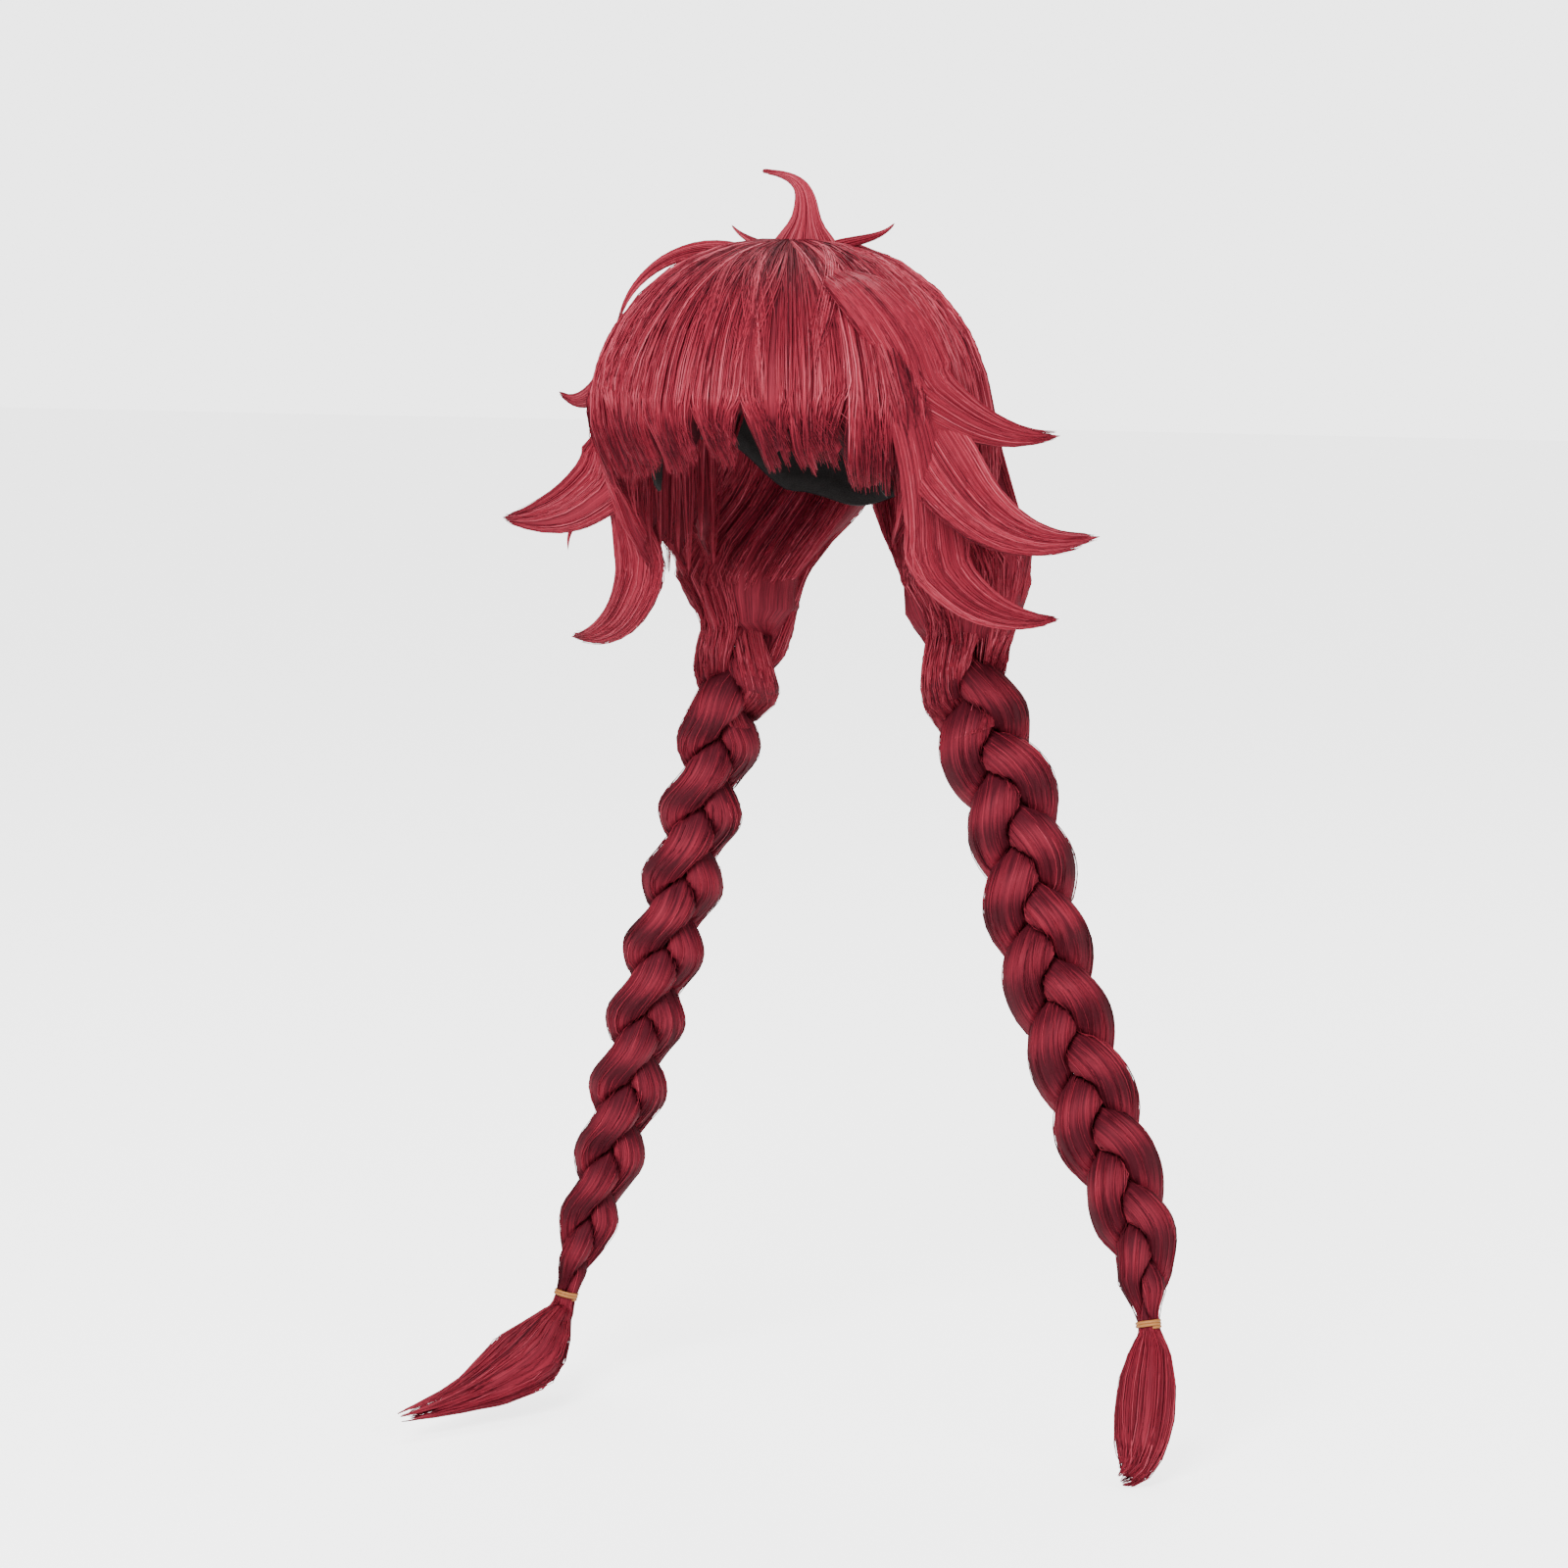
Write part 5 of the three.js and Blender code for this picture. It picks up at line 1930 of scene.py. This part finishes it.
FRINGE = Fringe(
    "fringe", low=-70, high=70, seed=11, fibres=2300, clumps=90, columns=150, upper_share=0.34,
    # Painted light and shade by share of length: dark roots at the crown, a lighter band as a painted
    # highlight, and darker where the locks turn under
    tones={
        "share": (0, 0.1, 0.22, 0.38, 0.52, 0.62, 0.7, 0.78, 0.84, 0.92, 1),
        "tone": (-0.22, -0.3, -0.27, -0.2, -0.08, 0.06, 0.11, 0.02, -0.15, -0.15, -0.02),
    },
    strays={
        "low": (66, 30, -8, -40, -64, 12, 48, -25, -14, 26, 4, -46, 54),
        "high": (38, 44, -16, -34, -48, 22, 62, -30, 0, 12, 20, -30, 36),
        "start": (0.06, 0.04, 0.08, 0.05, 0.1, 0.22, 0.1, 0.3, 0.16, 0.22, 0.18, 0.2, 0.24),
        "stop": (0.62, 0.5, 0.58, 0.66, 0.7, 0.75, 0.8, 0.8, 0.58, 0.68, 0.62, 0.7, 0.64),
        "width": (1.6, 1.2, 1.4, 1.3, 1.5, 0.9, 1.4, 0.9, 3, 2.6, 3.4, 2.8, 3.2),
        # Painted light and shade: the first eight strays, lighter than the hair's own tone, are painted
        # highlights, and the last five, at the crown, are darker, painted shade
        "tone": (0.66, 0.6, 0.58, 0.6, 0.6, 0.6, 0.62, 0.58, 0.3, 0.34, 0.28, 0.34, 0.3),
    },
)
SIDE_HAIR_WALLS = tuple(
    SideHair("side_hair", low=70, high=119, seed=seed, fibres=1000, clumps=34, columns=72, form_short=(1, 4),
             ragged_fibre=1.6, ragged_clump=1.6, inner_share=0.14)
    for seed in (21, 22)
)
BACK_HAIR_WALLS = tuple(
    BackHair("back_hair", low=115, high=180, seed=seed, fibres=1180, clumps=40, columns=80, rings=14,
             inner_share=0.32, plait=plait)
    for seed, plait in zip((31, 32), PLAITS)
)
LOCKS = (
    Lock("upper_flick_left", width=33, thickness=13, taper=2.4, face=40, seed=601, fibres=380,
         root=(75, -47, 54), leave=(100, -49, 20), curl=(128, -16, -11), tip=(156, 18, -4),
         start=(50, 74), lift=6),
    Lock("upper_flick_right", width=19, thickness=10, taper=2.4, face=-20, seed=602, fibres=200,
         root=(-87, -22, 50), leave=(-107, -11, 26), curl=(-133, 8, 1), tip=(-158, 18, 15),
         start=(-72, 72), turn_from=0.75),
    Lock("middle_flick_left", width=42, thickness=13, taper=2.6, face=35, seed=603, fibres=420,
         root=(88, -38, 20), leave=(117, -42, -34), curl=(133, -15, -72), tip=(184, 8, -58),
         start=(58, 56), spread=0.3, root_share=0.7, join=0, lift=0),
    Lock("middle_flick_right", width=44, thickness=13, taper=2.6, face=-15, seed=604, fibres=420,
         root=(-94, -20, 16), leave=(-92, -23, -44), curl=(-151, -4, -59), tip=(-190, 8, -58),
         start=(-54, 64), spread=0.8, turn_from=0.75, wisp=0.64),
    Lock("lower_flick_left", width=33, thickness=12, taper=2.4, face=35, seed=605, fibres=320,
         root=(92, -24, -32), leave=(97, -34, -86), curl=(121, 7, -111), tip=(152, 28, -106),
         start=(58, 34), spread=0.7),
    Lock("lower_flick_right", width=37, thickness=12, taper=2.5, face=-10, seed=606, fibres=320,
         root=(-94, -12, -36), leave=(-76, -16, -97), curl=(-115, 8, -127), tip=(-156, 28, -128),
         start=(-70, 34), spread=0.2),
    # The cowlick's higher tone is painted light, the glow of light through it
    Lock("cowlick", width=22, thickness=13, taper=1, face=10, seed=607, fibres=230,
         root=(8, 2, 94.5), leave=(8, 2, 125), curl=(17, -2, 138), tip=(-16, -4, 141), flare=1.0, tone=0.52),
    Lock("crown_wisp_left", width=5, thickness=3, taper=2, face=10, seed=608, fibres=40,
         root=(-13, 1, 97), leave=(-20, 2, 101), curl=(-28, -3, 103), tip=(-35, -4, 111), flare=0.7),
    Lock("crown_wisp_right", width=6, thickness=3.5, taper=2, face=10, seed=609, fibres=40,
         root=(24, 4, 98), leave=(37, 4, 104), curl=(52, 4, 102), tip=(62, 4, 112), flare=0.7),
    Lock("arched_lock", width=9, thickness=4.5, taper=2.4, face=-10, seed=610, fibres=60,
         root=(-22, -6, 96), leave=(-54, -11, 104), curl=(-90, -17, 91), tip=(-98, -22, 56)),
)


@dataclass(frozen=True)
class Lamp:
    """A square soft lamp, placed and sized in metres."""

    name: str
    place: tuple[float, float, float]
    size: float
    watts: float

    AIM = (0, 0, -0.2)

    def build(self) -> None:
        """Makes the lamp, facing the wig."""
        data = bpy.data.lights.new(self.name, "AREA")
        data.size, data.energy = self.size, self.watts
        lamp = bpy.data.objects.new(self.name, data)
        lamp.location = self.place
        lamp.rotation_euler = (Vector(self.AIM) - Vector(self.place)).to_track_quat("-Z", "Y").to_euler()
        bpy.context.scene.collection.objects.link(lamp)


@dataclass(frozen=True)
class Studio:
    """The pale floor, the soft lights and the camera."""

    turn: float = 26.0
    tilt: float = 7.0
    camera_mm: tuple[float, float, float] = (1132.1, -2329.9, 114.7)
    lens: float = 105.75
    sensor: float = 36.0
    floor_mm: float = -590.0
    floor_half_m: float = 12.0
    floor_grey: float = 0.9
    floor_roughness: float = 0.8
    floor_light: float = 0.2
    floor_glow: float = 3.0
    daylight: float = 0.32
    backdrop: float = 3.6
    lamps: tuple[Lamp, ...] = (
        Lamp("key_lamp", (0.2, -2.2, 1.5), size=1.2, watts=125),
        Lamp("fill_lamp", (2.4, -1.0, 0.8), size=1.4, watts=36),
        Lamp("back_lamp", (-0.4, 1.4, 2.3), size=1.6, watts=60),
    )

    def build(self) -> None:
        """Makes the stage."""
        self.add_floor()
        self.add_camera()
        self.add_world()
        for lamp in self.lamps:
            lamp.build()

    def add_floor(self) -> None:
        """A wide pale floor under the lowest hair."""
        half, level = self.floor_half_m, self.floor_mm * MM
        mesh = bpy.data.meshes.new("floor")
        corners = [(-half, -half, level), (half, -half, level), (half, half, level), (-half, half, level)]
        mesh.from_pydata(corners, [], [(0, 1, 2, 3)])
        floor = bpy.data.objects.new("floor", mesh)
        bpy.context.scene.collection.objects.link(floor)
        paint = bpy.data.materials.new("pale_floor")
        paint.use_nodes = True
        nodes, links = paint.node_tree.nodes, paint.node_tree.links
        shader = nodes["Principled BSDF"]
        shader.inputs["Base Color"].default_value = (*[self.floor_grey] * 3, 1)
        shader.inputs["Roughness"].default_value = self.floor_roughness
        shader.inputs["Emission Color"].default_value = (1, 1, 1, 1)
        strength = self.seen_strength(nodes, links, self.floor_light, self.floor_glow)
        links.new(strength, shader.inputs["Emission Strength"])
        mesh.materials.append(paint)
        floor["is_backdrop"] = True

    @staticmethod
    def seen_strength(nodes: bpy.types.Nodes, links: bpy.types.NodeLinks, lighting: float,
                      seen: float) -> bpy.types.NodeSocket:
        """Strength of a glow that lights the wig with one value and is seen with another.

        Args:
            nodes: nodes of the floor or the world.
            links: their links.
            lighting: strength as a light.
            seen: strength where it is seen directly.

        Returns:
            The socket that gives the strength.
        """
        path = nodes.new("ShaderNodeLightPath")
        strength = nodes.new("ShaderNodeMapRange")
        strength.inputs["To Min"].default_value = lighting
        strength.inputs["To Max"].default_value = seen
        links.new(path.outputs["Is Camera Ray"], strength.inputs["Value"])
        return strength.outputs["Result"]

    def add_camera(self) -> None:
        """The camera at the photograph's angle."""
        turn, tilt = math.radians(self.turn), math.radians(self.tilt)
        level = Vector((-math.sin(turn), math.cos(turn), 0))
        right = Vector((math.cos(turn), math.sin(turn), 0))
        ahead = level * math.cos(tilt) - Vector((0, 0, math.sin(tilt)))
        above = level * math.sin(tilt) + Vector((0, 0, math.cos(tilt)))
        data = bpy.data.cameras.new("camera")
        data.lens, data.sensor_width = self.lens, self.sensor
        camera = bpy.data.objects.new("camera", data)
        turned = Matrix((right, above, -ahead)).transposed().to_4x4()
        camera.matrix_world = Matrix.Translation(Vector(self.camera_mm) * MM) @ turned
        bpy.context.scene.collection.objects.link(camera)
        bpy.context.scene.camera = camera

    def add_world(self) -> None:
        """Soft even light from all round, in front of a bright backdrop."""
        world = bpy.data.worlds.new("studio")
        world.use_nodes = True
        nodes, links = world.node_tree.nodes, world.node_tree.links
        back = nodes["Background"]
        back.inputs["Color"].default_value = (1, 1, 1, 1)
        links.new(self.seen_strength(nodes, links, self.daylight, self.backdrop), back.inputs["Strength"])
        bpy.context.scene.world = world


def main() -> None:
    """Builds every piece of the wig and the stage round it."""
    logging.basicConfig(level=logging.INFO, format="%(name)s: %(message)s")
    streaks = streak_group()
    hair = HAIR_FINISH.material(streaks)
    Studio().build()
    NetCap().build(CAP_FINISH.material(streaks))
    FRINGE.build(Side.LEFT, hair)
    for walls in (SIDE_HAIR_WALLS, BACK_HAIR_WALLS):
        for wall, side in zip(walls, Side):
            wall.build(side, hair)
    for lock in LOCKS:
        lock.build(hair)
    for plait, seed in zip(PLAITS, PLAIT_SEEDS):
        PlaitHair(plait, seed).build(hair)
    for tail in TAILS:
        tail.build(hair)
    tie = TIE_FINISH.material(streaks)
    for plait in PLAITS:
        ElasticTie(plait).build(tie)
    total = sum(len(piece.data.polygons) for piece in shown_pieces())
    LOG.info("%d triangles in all", total)


if __name__ == "__main__":
    main()
